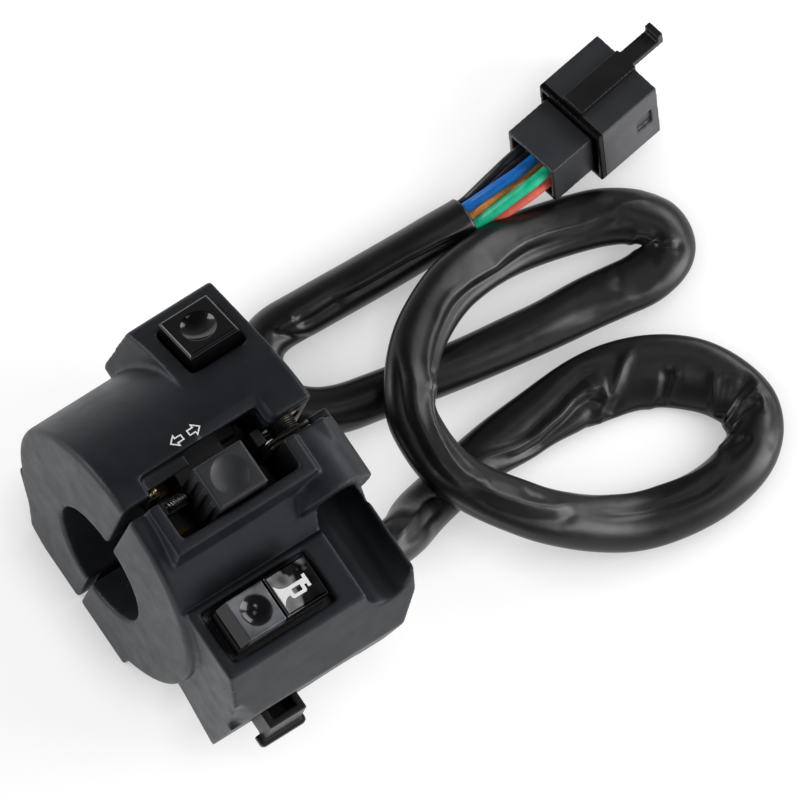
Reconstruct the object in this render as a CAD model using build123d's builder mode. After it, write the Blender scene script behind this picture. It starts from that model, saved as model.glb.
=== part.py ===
import os
from math import atan2, cos, pi, radians, sin, sqrt, tan

from build123d import *

os.makedirs("parts", exist_ok=True)

# Sizes are in millimetres. The bar lies on the X axis, X runs from the grip end inwards,
# Y towards the top of the bike and Z off the flat front face towards the rider.

# the bar and the two half shells clamped on it
bar_d = 22.2
grip_x = -20.5
end_x = 18.6
grip_round = 1.0
end_round = 1.0
barrel_r = 24.8
barrel_z = 4.7
wall = 2.2
end_wall = 3.4
sleeve_wall = 2.0
front_z = -22.0
flat_top_y = 15.0
flat_low_y = -13.4
foot_step = 2.2
foot_lean = 7.4
foot_draft = 2.0
foot_rear_z = -7.6
foot_corner_r = 4.0
split_front_gap = 0.7
split_rear_gap = 2.4
over = 1.0

bore_r = bar_d / 2
sleeve_r = bore_r + sleeve_wall
barrel_rear_z = barrel_z + barrel_r
reach = 3 * barrel_r

# the window of the turn slider, across the split on the rider's side
window_left_x = -14.5
window_right_x = 9.5
window_low_y = -8.5
window_top_y = 4.6
sill_right_x = -5.3
sill_low_y = 2.0
sill_depth = 2.0
bevel_height = 3.4
bevel_side = 1.5
bevel_depth = 0.9
bevel_left_x = -2.0
rim_side = 3.3
rim_low = 2.9
rim_rise = 1.3
rim_draft = 0.9
rim_base_z = 22.0

# the tower of the dimmer button
tower_left_x = 1.8
tower_foot_x = -1.4
tower_foot_z = 4.0
tower_touch_y = 12.0
tower_length = 18.8
tower_crown_z = 3.0
tower_crown_drop = 0.8
tower_edge_r = 1.2
tower_side_drop = 6.0

# the box below the barrel, with the horn panel on its rear
box_left_x = -19.4
box_left_draft = 2.4
panel_inset = 6.4
panel_drop = 7.0
panel_top_y = panel_inset - barrel_r
panel_z = barrel_rear_z - panel_drop
panel_low_drop = 13.4
panel_low_y = panel_top_y - panel_low_drop
box_front_drop = 3.6
box_front_y = panel_top_y - box_front_drop
box_front_z = -12.2
box_low_front_drop = 15.4
box_low_front_y = panel_top_y - box_low_front_drop
box_low_front_z = -17.0
box_toe_drop = 18.6
box_toe_y = panel_top_y - box_toe_drop
box_toe_z = 8.0
box_edge_r = 1.6
chin_more = 4.2
chin_y = 4.4
chin_drop = 1.5
chin_rise = 8.0
toe_nick_l = 6.0
toe_nick_w = 2.0
toe_nick_z = 1.5
toe_corner = 3.0
panel_right_x = 8.6
panel_step = 0.35
box_room_left_x = -16.8
box_room_front_x = -13.8
box_room_step_z = 6.5
box_room_top_rise = 4.2
box_room_top_y = panel_top_y + box_room_top_rise
horn_open_left_x = -17.2
horn_open_right_x = 4.0
horn_open_top_drop = 1.1
horn_open_top_y = panel_top_y - horn_open_top_drop
horn_open_low_drop = 11.2
horn_open_low_y = panel_top_y - horn_open_low_drop

# the rear clamp screw, its shoulder and the channel that reaches its head
screw_x = 13.4
screw_z = 21.5
shoulder_r = 8.0
shoulder_low_y = -15.0
shoulder_top_y = -3.0
notch_z = 23.0
channel_r = 4.5
screw_d = 5.0
screw_head_d = 8.0
screw_head_h = 3.2
screw_clearance = 0.25
front_screw_x = 8.0
front_screw_z = -16.6
screw_seat_y = -8.4
insert_d = 7.0
insert_h = 6.0
boss_wall = 1.6
boss_top_y = 10.0
screw_reach = 8.6

# the dimmer button and its latching switch, along the push
cap_x = 10.4
cap_along = 9.7
cap_size = 10.0
cap_rise = 3.0
cap_gap = 0.6
tower_wall = 2.2
body_w = 11.6
body_h = 13.0
body_floor_gap = 3.2
body_clear = 0.4
cap_travel = 2.5
cap_skirt_low = -4.2
cap_edge_r = 0.7
cap_wall = 1.2
cap_dish = 0.9
cap_dish_d = 6.4
flange_w = 1.1
flange_t = 1.4
stem_r = 1.4
stem_low = -8.0
body_top = -7.0
dim_coil_r = 2.4
dim_wire = 0.5
dim_coil_l = 5.0
dim_turns = 4
terminal_pitch = 3.2
terminal_t = 0.5
terminal_w = 1.6
terminal_l = 2.4

# small screws and running clearances
small_screw_r = 1.3
small_screw_l = 5.0
small_head_r = 2.2
small_head_h = 1.4
run_gap = 0.2
fit_gap = 0.1
thread_clear = 0.02

# the turn slider: base, carriage, plate and knob
base_low_z = 13.6
base_t = 2.2
base_left_x = -16.4
base_right_x = 9.0
base_low_y = -10.2
base_top_y = 6.0
base_ear_xs = (-12.0, 4.0)
ear_r = 2.6
ear_y = -12.6
rail_left_x = -12.0
rail_right_x = 7.0
rail_low_right_x = 5.4
rail_h = 3.0
carriage_left_x = -7.0
carriage_right_x = 3.0
carriage_low_y = -8.2
carriage_top_y = 3.8
plate_low_z = 20.0
plate_t = 1.3
plate_low_y = -8.3
plate_top_y = 6.6
tongue_left_x = -12.2
cradle_w = 2.6
coil_y = -1.1
coil_left_x = -11.4
coil_r = 0.7
coil_wire = 0.3
coil_turns = 8
turn_travel = 3.5
lug_x = 7.3
stop_w = 2.0
stop_low_y = -0.9
stop_top_y = 2.1
stop_top_z = 23.5
rivet_x = -12.0
rivet_y = 2.3
rivet_post = 2.2
rivet_h = 6.0
rivet_r = 0.9
contact_ys = (-6.6, -4.9, 2.2)
contact_w = 1.0
contact_t = 0.4
contact_left_x = -11.0
contact_right_x = 6.5
ball_x = -2.0
ball_y = -1.4
ball_r = 1.3
ball_coil_r = 0.8
track_depth = 0.4
track_rest = 0.05
knob_x = -2.0
knob_y = -3.65
knob_w = 9.9
knob_h = 8.5
knob_top_z = 33.0
knob_edge_r = 0.6
knob_rib = 0.5
knob_rib_w = 1.1
knob_rib_shares = (-0.3, 0.0, 0.3)
knob_dish = 0.9
knob_dish_d = 7.0

# the horn button: two caps on one carrier
horn_mid_drop = 6.2
horn_mid_y = panel_top_y - horn_mid_drop
horn_cap_h = 7.8
horn_rise = 4.2
horn_seat_rise = 0.6
horn_travel = 2.4
pad_left_x = -15.2
pad_right_x = -6.2
pad_slope = 1.6
pad_step = 1.2
pad_dish = 0.8
pad_dish_d = 5.6
tile_left_x = -5.9
tile_right_x = 2.4
horn_edge_r = 0.35
carrier_left_x = -16.6
carrier_right_x = 4.8
carrier_low_drop = 11.8
carrier_low_y = panel_top_y - carrier_low_drop
carrier_top_drop = 1.3
carrier_top_y = panel_top_y - carrier_top_drop
keeper_low_drop = 2.4
keeper_low_z = panel_z - keeper_low_drop
keeper_t = 1.2
keeper_in = 1.2
carrier_t = 1.4
carrier_clear = 0.4
horn_base_t = 2.0
horn_base_h = 8.0
horn_base_right_x = 5.0
base_shelf_drop = 14.5
base_shelf_z = panel_z - base_shelf_drop
shelf_w = 3.0
shelf_h = 3.0
horn_coil_x = -6.0
horn_pilot = 1.2
horn_turns = 5
horn_contact_pitch = 5.0

# the pass trigger and its pin
pass_x = -7.3
pass_w = 7.4
pass_low_z = -10.0
pass_high_z = -2.6
pass_tip_drop = 1.8
pass_tip_y = box_toe_y - pass_tip_drop
pass_gap = 0.4
pass_swing = 1.2
pass_wall = 1.3
pass_corner_r = 0.8
plate_lip = 0.9
plate_tip_t = 1.2
pin_rise = 11.0
pin_y = box_toe_y + pin_rise
pin_z = -6.6
pin_r = 1.2
pin_gap = 0.05
lug_w = 2.0
lug_r = 2.8
lug_gap = 0.4
pass_coil_l = 3.0
spring_gap = 0.3
switch_w = 9.0
switch_drop = 4.5
switch_rise = 5.0
switch_gap = 0.8

# the harness
exit_drop = 1.5
exit_y = box_front_y - exit_drop
exit_z = -4.6
sleeve_d = 8.0
grommet_neck_r = 4.4
grommet_flange_r = 5.2
grommet_lip = 1.4
sleeve_route = [
    (20.0, exit_y, exit_z),
    (27.0, exit_y, exit_z),
    (35.0, -20.8, -14.4),
    (46.5, -17.2, -17.95),
    (60.0, -15.4, -17.95),
    (77.0, -15.2, -17.95),
    (89.5, -20.6, -17.95),
    (96.0, -31.5, -17.95),
    (92.0, -40.8, -17.95),
    (78.0, -43.2, -17.95),
    (62.5, -39.2, -16.5),
    (50.8, -29.2, -12.0),
    (43.3, -17.8, -9.3),
    (41.8, -7.5, -9.3),
    (45.3, 0.5, -9.3),
    (53.5, 7.2, -11.5),
    (64.0, 10.6, -14.0),
    (76.0, 10.8, -16.4),
    (90.0, 7.6, -17.95),
    (98.3, 3.6, -17.95),
    (100.0, -2.4, -17.95),
    (94.0, -6.4, -17.95),
    (84.0, -4.6, -17.95),
    (70.0, -3.1, -17.95),
    (55.0, -0.7, -17.95),
    (43.0, 1.7, -17.95),
    (33.0, 3.6, -17.95),
    (26.5, 8.6, -17.95),
    (26.0, 15.6, -17.95),
    (31.0, 20.4, -17.95),
    (40.0, 20.2, -17.95),
    (52.0, 19.6, -17.95),
    (64.0, 19.4, -17.95),
    (71.5, 19.4, -17.95),
]
bend_share = 0.45

# six wires from the sleeve's end to the connector
wire_d = 2.0
wire_ring = 2.45
wire_reach = 4.0
thin_wire_d = 0.8
thin_wire_ys = (-2.5, -1.6)
thin_wire_left_x = 8.4
thin_wire_right_x = 17.0
thin_wire_low_z = 20.5
thin_wire_gap = 0.1
ring_step = 60
ring_top = 90

# the connector, measured in its own frame from the middle of its rear end
plug_x = 85.2
plug_y = 18.1
plug_turn = 8.6
plug_roll = 17.0
plug_rest = 0.02
block_l = 9.0
block_w = 11.0
block_h = 10.4
block_low = 2.3
shroud_l = 13.6
shroud_w = 14.4
shroud_h = 15.0
shroud_wall = 1.3
moat_w = 1.0
moat_l = 5.0
moat_side = 0.6
column_pitch = 3.1
row_pitch = 3.4
cell_d = 2.3
cell_depth = 5.0
rear_pocket = 2.6
rear_wall = 0.9
latch_w = 4.6
latch_h = 1.3
latch_rear = 1.0
tongue_w = 3.2
tongue_l = 7.0
tongue_t = 1.3
hook_l = 1.2
hook_h = 1.6
pin_w = 0.8
pin_l = 5.0
pocket_l = 3.4
pocket_h = 4.2
pocket_front = 1.6

# places that follow from the sizes above
insert_low_y = split_rear_gap / 2
insert_top_y = insert_low_y + insert_h
boss_r = insert_d / 2 + boss_wall
screw_hole_r = screw_d / 2 + screw_clearance
screw_drive_r = screw_head_d / 4
screw_places = ((screw_x, screw_z), (front_screw_x, front_screw_z))
bay_z = sleeve_r
rim_top_z = barrel_rear_z + rim_rise
base_floor_z = base_low_z + base_t
rail_top_z = base_floor_z + rail_h
plate_top_z = plate_low_z + plate_t
coil_l = knob_x - knob_w / 2 - knob_rib - coil_left_x
coil_z = plate_top_z + coil_r + coil_wire / 2
rivet_seat_z = base_floor_z + rivet_h
ball_z = base_floor_z - track_depth + track_rest + ball_r
track_half = turn_travel + 2 * ball_r
horn_top_z = panel_z + horn_rise
horn_seat_z = panel_z + horn_seat_rise
carrier_top_z = panel_z - wall - carrier_clear
carrier_low_z = carrier_top_z - carrier_t
horn_base_top_z = base_shelf_z + horn_base_t
lug_left_x = pass_x - pass_w / 2 - lug_gap - lug_w / 2
lug_right_x = pass_x + pass_w / 2 + lug_gap + lug_w / 2
pin_left_x = lug_left_x - lug_w / 2
plug_l = block_l + shroud_l
pin_right_x = lug_right_x + lug_w / 2

tower_tilt = atan2(tower_touch_y, sqrt(barrel_r**2 - tower_touch_y**2))
tower_touch_z = barrel_z + sqrt(barrel_r**2 - tower_touch_y**2)
# the dimmer's switch reaches down to a gap over the tube that holds the bar
body_low = sleeve_r + body_floor_gap - barrel_r - barrel_z * cos(tower_tilt)


def tower_point(along, out):
    # a place on the tower's rear face, measured up the face and out of it
    y = tower_touch_y + along * cos(tower_tilt) + out * sin(tower_tilt)
    z = tower_touch_z - along * sin(tower_tilt) + out * cos(tower_tilt)
    return y, z


def foot_outline(inset):
    # the flat foot that the barrel lies on, in the YZ plane
    Polygon(
        (flat_top_y - inset - foot_corner_r, front_z + inset),
        (flat_top_y - inset, front_z + inset + foot_corner_r / 3),
        (flat_top_y - inset + foot_lean / 3, foot_rear_z + (front_z - foot_rear_z) / 2),
        (flat_top_y + foot_lean - inset, foot_rear_z),
        (flat_low_y - foot_draft + inset, foot_rear_z),
        (flat_low_y + inset, front_z + inset),
        align=None,
    )


def barrel_band(inset, near_x, far_x):
    # the barrel and its foot drawn through from one place on the bar to another
    with BuildPart() as band:
        with BuildSketch(Plane.YZ.offset(near_x)):
            with Locations((0, barrel_z)):
                Circle(barrel_r - inset)
            foot_outline(inset)
        extrude(amount=far_x - near_x)
    return band.part


def rounded_barrel():
    # the whole barrel, with its round edges softened at both ends
    with BuildPart() as band:
        with BuildSketch(Plane.YZ.offset(grip_x)):
            with Locations((0, barrel_z)):
                Circle(barrel_r)
        extrude(amount=end_x - grip_x)
        for end, radius in ((0, grip_round), (-1, end_round)):
            fillet(band.faces().sort_by(Axis.X)[end].edges(), radius)
        with BuildSketch(Plane.YZ.offset(grip_x)):
            foot_outline(0)
        extrude(amount=end_x - grip_x)
    return band.part


def half_space(side, gap_front, gap_rear, x_from, x_to):
    # everything that the other half owns, beyond this half's split face
    front_y = side * gap_front / 2
    rear_y = side * gap_rear / 2
    with BuildPart() as space:
        with BuildSketch(Plane.YZ.offset(x_from)):
            with BuildLine():
                Polyline(
                    (front_y, min(front_z, barrel_z - barrel_r) - over),
                    (rear_y, barrel_rear_z + reach / 4),
                    (-side * reach, barrel_rear_z + reach / 4),
                    (-side * reach, min(front_z, barrel_z - barrel_r) - over),
                    close=True,
                )
            make_face()
        extrude(amount=x_to - x_from)
    return space.part


def block(x_span, y_span, z_span):
    # a plain block between two limits each way
    with BuildPart() as made:
        with BuildSketch(Plane.XY.offset(z_span[0])):
            with Locations((sum(x_span) / 2, sum(y_span) / 2)):
                Rectangle(x_span[1] - x_span[0], y_span[1] - y_span[0])
        extrude(amount=z_span[1] - z_span[0])
    return made.part


def ball(radius, x, y, z):
    # a whole ball
    with BuildPart() as made:
        with Locations((x, y, z)):
            Sphere(radius)
    return made.part


tower_axis = Axis((0, 0, 0), (0, sin(tower_tilt), cos(tower_tilt)))


def bend_radii(route):
    # one bend radius for each inner point, from the shorter run beside it and its turn
    radii = []
    for before, here, after in zip(route, route[1:], route[2:]):
        run_in = Vector(*here) - Vector(*before)
        run_out = Vector(*after) - Vector(*here)
        turn = radians(run_in.get_angle(run_out))
        radii.append(bend_share * min(run_in.length, run_out.length) / tan(turn / 2))
    return radii


def tower_plane(out):
    # the dimmer's plane, square to the push, at a height out of the tower's face
    return Plane(
        origin=(cap_x, *tower_point(cap_along, out)),
        x_dir=(1, 0, 0),
        z_dir=(0, sin(tower_tilt), cos(tower_tilt)),
    )


def tower_block(width, height, out_low, out_high):
    # a block square to the dimmer's push
    with BuildPart() as made:
        with BuildSketch(tower_plane(out_low)):
            Rectangle(width, height)
        extrude(amount=out_high - out_low)
    return made.part


def bar_tube(radius, near_x, far_x):
    # a round bar on the X axis
    with BuildPart() as made:
        with BuildSketch(Plane.YZ.offset(near_x)):
            Circle(radius)
        extrude(amount=far_x - near_x)
    return made.part


def upright(radius, x, z, low_y, top_y):
    # a round bar along Y
    with BuildPart() as made:
        with BuildSketch(Plane.XZ.offset(-top_y)):
            with Locations((x, z)):
                Circle(radius)
        extrude(amount=top_y - low_y)
    return made.part


def post(radius, x, y, low_z, top_z):
    # a round bar along Z
    with BuildPart() as made:
        with BuildSketch(Plane.XY.offset(low_z)):
            with Locations((x, y)):
                Circle(radius)
        extrude(amount=top_z - low_z)
    return made.part


def coil(radius, wire_d, length, turns, place):
    # an open coil spring that stands on the XY plane of its place
    wire_r = wire_d / 2
    pitch = (length - wire_d) / turns
    path = Helix(pitch=pitch, height=length - wire_d, radius=radius)
    with BuildPart() as made:
        with BuildSketch(Plane(origin=path @ 0, z_dir=path % 0)):
            Circle(wire_r)
        sweep(path=path, is_frenet=True)
    return place * Pos(0, 0, wire_r) * made.part


# the upper half shell
with BuildPart() as upper_housing:
    add(rounded_barrel())
    # the tower's rear face is a tangent plane of the barrel
    crown_y, crown_z = tower_point(tower_length, 0)
    with BuildSketch(Plane.YZ.offset(tower_foot_x)) as tower_side:
        with BuildLine():
            Polyline(
                tower_point(0, 0),
                (crown_y, crown_z),
                (crown_y - tower_crown_drop, tower_crown_z),
                (0, tower_crown_z),
                close=True,
            )
        make_face()
        fillet(tower_side.vertices().group_by(Axis.X)[-1], tower_edge_r)
    extrude(amount=end_x - tower_foot_x)
    # its left side leans out towards the front
    with BuildSketch(Plane.XZ.offset(-reach)):
        with BuildLine():
            Polyline(
                (tower_left_x, tower_touch_z + over),
                (tower_left_x, tower_touch_z - tower_side_drop),
                (tower_foot_x, tower_foot_z),
                (tower_foot_x - barrel_r, tower_foot_z),
                (tower_foot_x - barrel_r, tower_touch_z + over),
                close=True,
            )
        make_face()
    extrude(amount=2 * reach, mode=Mode.SUBTRACT)
    add(rounded_barrel())
    # hollow behind the walls, keeping the tube that holds the bar
    add(
        barrel_band(wall, grip_x + end_wall, end_x - wall) - bar_tube(sleeve_r, grip_x, end_x),
        mode=Mode.SUBTRACT,
    )
    add(
        tower_block(body_w + 2 * body_clear, body_h + 2 * body_clear, body_low - body_clear, -tower_wall)
        - bar_tube(sleeve_r, grip_x, end_x),
        mode=Mode.SUBTRACT,
    )
    # the two screw bosses, and a rib that ties the tube to the foot
    for x, z in screw_places:
        add(upright(boss_r, x, z, 0, boss_top_y) & barrel_band(0, grip_x, end_x))
    add(
        block((front_screw_x - wall / 2, front_screw_x + wall / 2), (0, flat_top_y), (front_z + wall, 0))
        & barrel_band(wall / 2, grip_x, end_x)
    )
    add(bar_tube(bore_r, grip_x - over, end_x + over), mode=Mode.SUBTRACT)
    for x, z in screw_places:
        add(upright(insert_d / 2, x, z, -over, insert_top_y), mode=Mode.SUBTRACT)
        add(upright(screw_hole_r, x, z, -over, screw_reach + fit_gap), mode=Mode.SUBTRACT)
    # the dimmer's opening
    add(
        tower_block(cap_size + 2 * cap_gap, cap_size + 2 * cap_gap, -2 * tower_wall, 2 * tower_wall),
        mode=Mode.SUBTRACT,
    )
    # the slider's window, its sill at the left and the sunk border at the right
    rear_reach = barrel_rear_z + over
    add(
        block((sill_right_x, window_right_x), (-over, window_top_y), (bay_z, rear_reach)),
        mode=Mode.SUBTRACT,
    )
    add(
        block((window_left_x, sill_right_x), (-over, sill_low_y), (bay_z, rear_reach)),
        mode=Mode.SUBTRACT,
    )
    add(
        block(
            (window_left_x, sill_right_x),
            (-over, window_top_y),
            (barrel_rear_z - sill_depth, rear_reach),
        ),
        mode=Mode.SUBTRACT,
    )
    add(
        block(
            (bevel_left_x, window_right_x + bevel_side),
            (-over, window_top_y + bevel_height),
            (barrel_rear_z - bevel_depth, rear_reach),
        ),
        mode=Mode.SUBTRACT,
    )
    add(half_space(1, split_front_gap, split_rear_gap, grip_x - over, end_x + over), mode=Mode.SUBTRACT)

# the lower half shell
with BuildPart() as chin:
    # below the bar the lower half's outline swells on a larger circle
    with BuildSketch(Plane.YZ.offset(grip_x)):
        with Locations((chin_y, barrel_z - chin_drop)):
            Circle(barrel_r + chin_more)
    extrude(amount=end_x - grip_x)
    for end, radius in ((0, grip_round), (-1, end_round)):
        fillet(chin.faces().sort_by(Axis.X)[end].edges(), radius)
    add(
        block((grip_x - over, end_x + over), (-reach, flat_low_y), (-reach, barrel_z + chin_rise)),
        mode=Mode.INTERSECT,
    )

with BuildPart() as lower_outer:
    # the box that holds the horn and pass switches
    with BuildSketch(Plane.YZ.offset(box_left_x)) as box_side:
        with BuildLine():
            Polyline(
                (0, box_front_z),
                (box_front_y, box_front_z),
                (box_low_front_y, box_low_front_z),
                (box_toe_y, box_toe_z),
                (panel_low_y, panel_z),
                (panel_top_y, panel_z),
                (panel_top_y, barrel_z),
                (0, barrel_z),
                close=True,
            )
        make_face()
        fillet(box_side.vertices().group_by(Axis.X)[0], box_edge_r)
    extrude(amount=end_x - box_left_x)
    with BuildSketch(Plane.XZ.offset(-panel_top_y)):
        with BuildLine():
            Polyline(
                (box_left_x - over, panel_z + over),
                (box_left_x, panel_z + over),
                (box_left_x + box_left_draft, box_low_front_z),
                (box_left_x - over, box_low_front_z),
                close=True,
            )
        make_face()
    extrude(amount=reach, mode=Mode.SUBTRACT)
    # the slope under the panel stops short of the lower left corner
    with BuildSketch(Plane.XY.offset(toe_nick_z)):
        Polygon(
            (box_left_x - over, box_toe_y + toe_nick_w),
            (box_left_x + toe_nick_l / 3, box_toe_y + toe_nick_w),
            (box_left_x + toe_nick_l, box_toe_y - over),
            (box_left_x - over, box_toe_y - over),
            align=None,
        )
    extrude(amount=panel_z, mode=Mode.SUBTRACT)
    # its right corner is cut off
    with BuildSketch(Plane.XY.offset(front_z)):
        Polygon(
            (end_x + over, box_toe_y + toe_corner + over),
            (end_x - toe_corner, box_toe_y),
            (end_x - toe_corner, box_toe_y - over),
            (end_x + over, box_toe_y - over),
            align=None,
        )
    extrude(amount=panel_z - front_z, mode=Mode.SUBTRACT)
    # the panel ends in a low step beside the screw's channel
    add(
        block(
            (panel_right_x, end_x + over),
            (panel_low_y - over, panel_top_y),
            (panel_z - panel_step, panel_z + over),
        ),
        mode=Mode.SUBTRACT,
    )
    add(rounded_barrel())
    add(chin.part)
    # the foot is one step shallower below the flat
    add(
        block(
            (grip_x - over, end_x + over),
            (flat_low_y - barrel_r, flat_low_y),
            (front_z - over, front_z + foot_step),
        ),
        mode=Mode.SUBTRACT,
    )

with BuildPart() as box_room:
    with BuildSketch(Plane.YZ.offset(box_room_left_x)) as room_side:
        with BuildLine():
            Polyline(
                (box_room_top_y, box_front_z + wall),
                (box_front_y, box_front_z + wall),
                (box_low_front_y + wall, box_low_front_z + wall),
                (box_toe_y + wall, box_toe_z),
                (panel_low_y + wall / 2, panel_z - wall),
                (panel_top_y - wall / 2, panel_z - wall),
                (panel_top_y - wall / 2, barrel_z),
                (box_room_top_y, barrel_z),
                close=True,
            )
        make_face()
    extrude(amount=end_x - wall - box_room_left_x)
    # the left wall is thicker at the front, where it leans in
    add(
        block((box_room_left_x - over, box_room_front_x), (-reach, 0), (front_z, box_room_step_z)),
        mode=Mode.SUBTRACT,
    )

with BuildPart() as lower_housing:
    add(lower_outer.part)
    # the raised frame round the window, drawn in towards its top
    rim_middle = ((window_left_x + window_right_x) / 2, (window_low_y - rim_low) / 2)
    rim_w = window_right_x - window_left_x + 2 * rim_side
    rim_h = rim_low - window_low_y
    with BuildSketch(Plane.XY.offset(rim_base_z)):
        with Locations(rim_middle):
            Rectangle(rim_w + 2 * rim_draft, rim_h + 2 * rim_draft)
    with BuildSketch(Plane.XY.offset(rim_top_z)):
        with Locations(rim_middle):
            Rectangle(rim_w - 2 * rim_draft, rim_h - 2 * rim_draft)
    loft()
    # the round shoulder over the rear screw
    add(upright(shoulder_r, screw_x, screw_z, shoulder_low_y, 0))
    # the bay behind the window and the room inside the box
    bay = barrel_band(wall, grip_x + end_wall, end_x - wall) - bar_tube(sleeve_r, grip_x, end_x)
    add(bay - upright(shoulder_r, screw_x, screw_z, -reach, reach), mode=Mode.SUBTRACT)
    add(box_room.part, mode=Mode.SUBTRACT)
    # the channel's wall stands in that room
    add(
        block(
            (screw_x - channel_r - wall, end_x - wall / 2),
            (panel_low_y, panel_top_y),
            (screw_z - channel_r - wall, panel_z - wall / 2),
        )
    )
    for x, z in screw_places:
        add(upright(boss_r, x, z, screw_seat_y - wall, 0) & lower_outer.part)
    # legs that carry the slider's base
    for x in base_ear_xs:
        add(post(ear_r, x, ear_y, 0, base_low_z))
    # lugs for the pass trigger's pin
    for x in (lug_left_x, lug_right_x):
        add(
            block(
                (x - lug_w / 2, x + lug_w / 2),
                (pin_y - lug_r, pin_y + lug_r),
                (box_low_front_z + wall / 2, pin_z + lug_r),
            )
        )
    # shelves that carry the horn's base
    for y in (horn_mid_y - horn_base_h / 2, horn_mid_y + horn_base_h / 2):
        add(
            block(
                (box_room_left_x - wall / 4, box_room_left_x + shelf_w),
                (y - wall / 2, y + wall / 2),
                (base_shelf_z - shelf_h, base_shelf_z),
            )
        )
    for y in (horn_mid_y - horn_base_h / 2, horn_mid_y + horn_base_h / 2):
        add(
            post(shelf_w / 2, horn_base_right_x - shelf_w / 2, y, front_z, base_shelf_z) & lower_outer.part
        )
    add(bar_tube(bore_r, grip_x - over, end_x + over), mode=Mode.SUBTRACT)
    # the clamp screws' holes, and the ways that reach their heads
    for x, z in screw_places:
        add(upright(screw_hole_r, x, z, screw_seat_y - over, over), mode=Mode.SUBTRACT)
    add(upright(channel_r, screw_x, screw_z, box_toe_y - over, screw_seat_y), mode=Mode.SUBTRACT)
    add(
        upright(screw_head_d / 2 + screw_clearance, front_screw_x, front_screw_z, -reach, screw_seat_y),
        mode=Mode.SUBTRACT,
    )
    # openings for the slider, the horn and the pass trigger
    add(
        block((window_left_x, window_right_x), (window_low_y, over), (bay_z, rim_top_z + over)),
        mode=Mode.SUBTRACT,
    )
    add(
        block(
            (horn_open_left_x, horn_open_right_x),
            (horn_open_low_y, horn_open_top_y),
            (panel_z - 2 * wall, panel_z + over),
        ),
        mode=Mode.SUBTRACT,
    )
    add(
        block(
            (pass_x - pass_w / 2 - pass_gap, pass_x + pass_w / 2 + pass_gap),
            (box_toe_y - over, box_low_front_y + 2 * wall),
            (pass_low_z - pass_gap, pass_high_z + pass_gap + pass_swing),
        ),
        mode=Mode.SUBTRACT,
    )
    add(
        Pos(0, pin_y, pin_z) * bar_tube(pin_r, pin_left_x, pin_right_x),
        mode=Mode.SUBTRACT,
    )
    # keepers over the carrier's left and upper edges
    add(
        block(
            (horn_open_left_x - wall / 4, horn_open_left_x + keeper_in),
            (horn_open_low_y, horn_open_top_y),
            (keeper_low_z, keeper_low_z + keeper_t),
        )
    )
    add(
        block(
            (horn_open_left_x, horn_open_right_x),
            (horn_open_top_y - keeper_in * 3 / 4, horn_open_top_y + wall / 4),
            (keeper_low_z, keeper_low_z + keeper_t),
        )
    )
    # screw holes in the legs
    for x in base_ear_xs:
        add(
            post(small_screw_r, x, ear_y, base_low_z - small_screw_l, base_low_z + over),
            mode=Mode.SUBTRACT,
        )
    # the harness leaves by a round hole in the right wall
    add(
        Pos(0, exit_y, exit_z) * bar_tube(grommet_neck_r, end_x - 2 * wall, end_x + over),
        mode=Mode.SUBTRACT,
    )
    # the notch over the shoulder where the thin wires cross
    add(
        block(
            (window_right_x, screw_x + 2 * shoulder_r),
            (shoulder_top_y, over),
            (notch_z, rim_top_z + over),
        ),
        mode=Mode.SUBTRACT,
    )
    for y in thin_wire_ys:
        add(
            post(thin_wire_d / 2 + thin_wire_gap, thin_wire_right_x, y, thin_wire_low_z, notch_z + over),
            mode=Mode.SUBTRACT,
        )
    add(
        half_space(-1, split_front_gap, split_rear_gap, grip_x - over, screw_x + 2 * shoulder_r),
        mode=Mode.SUBTRACT,
    )

# what clamps the halves together
with BuildPart() as clamp_screws:
    for x, z in screw_places:
        add(upright(screw_d / 2, x, z, screw_seat_y, screw_reach))
        add(upright(screw_head_d / 2, x, z, screw_seat_y - screw_head_h, screw_seat_y))
        add(
            upright(
                screw_drive_r,
                x,
                z,
                screw_seat_y - screw_head_h - over,
                screw_seat_y - screw_head_h / 2,
            ),
            mode=Mode.SUBTRACT,
        )

with BuildPart() as threaded_inserts:
    for x, z in screw_places:
        add(upright(insert_d / 2, x, z, insert_low_y, insert_top_y))
        add(
            upright(screw_d / 2 + thread_clear, x, z, insert_low_y - over, insert_top_y + over),
            mode=Mode.SUBTRACT,
        )

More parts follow.
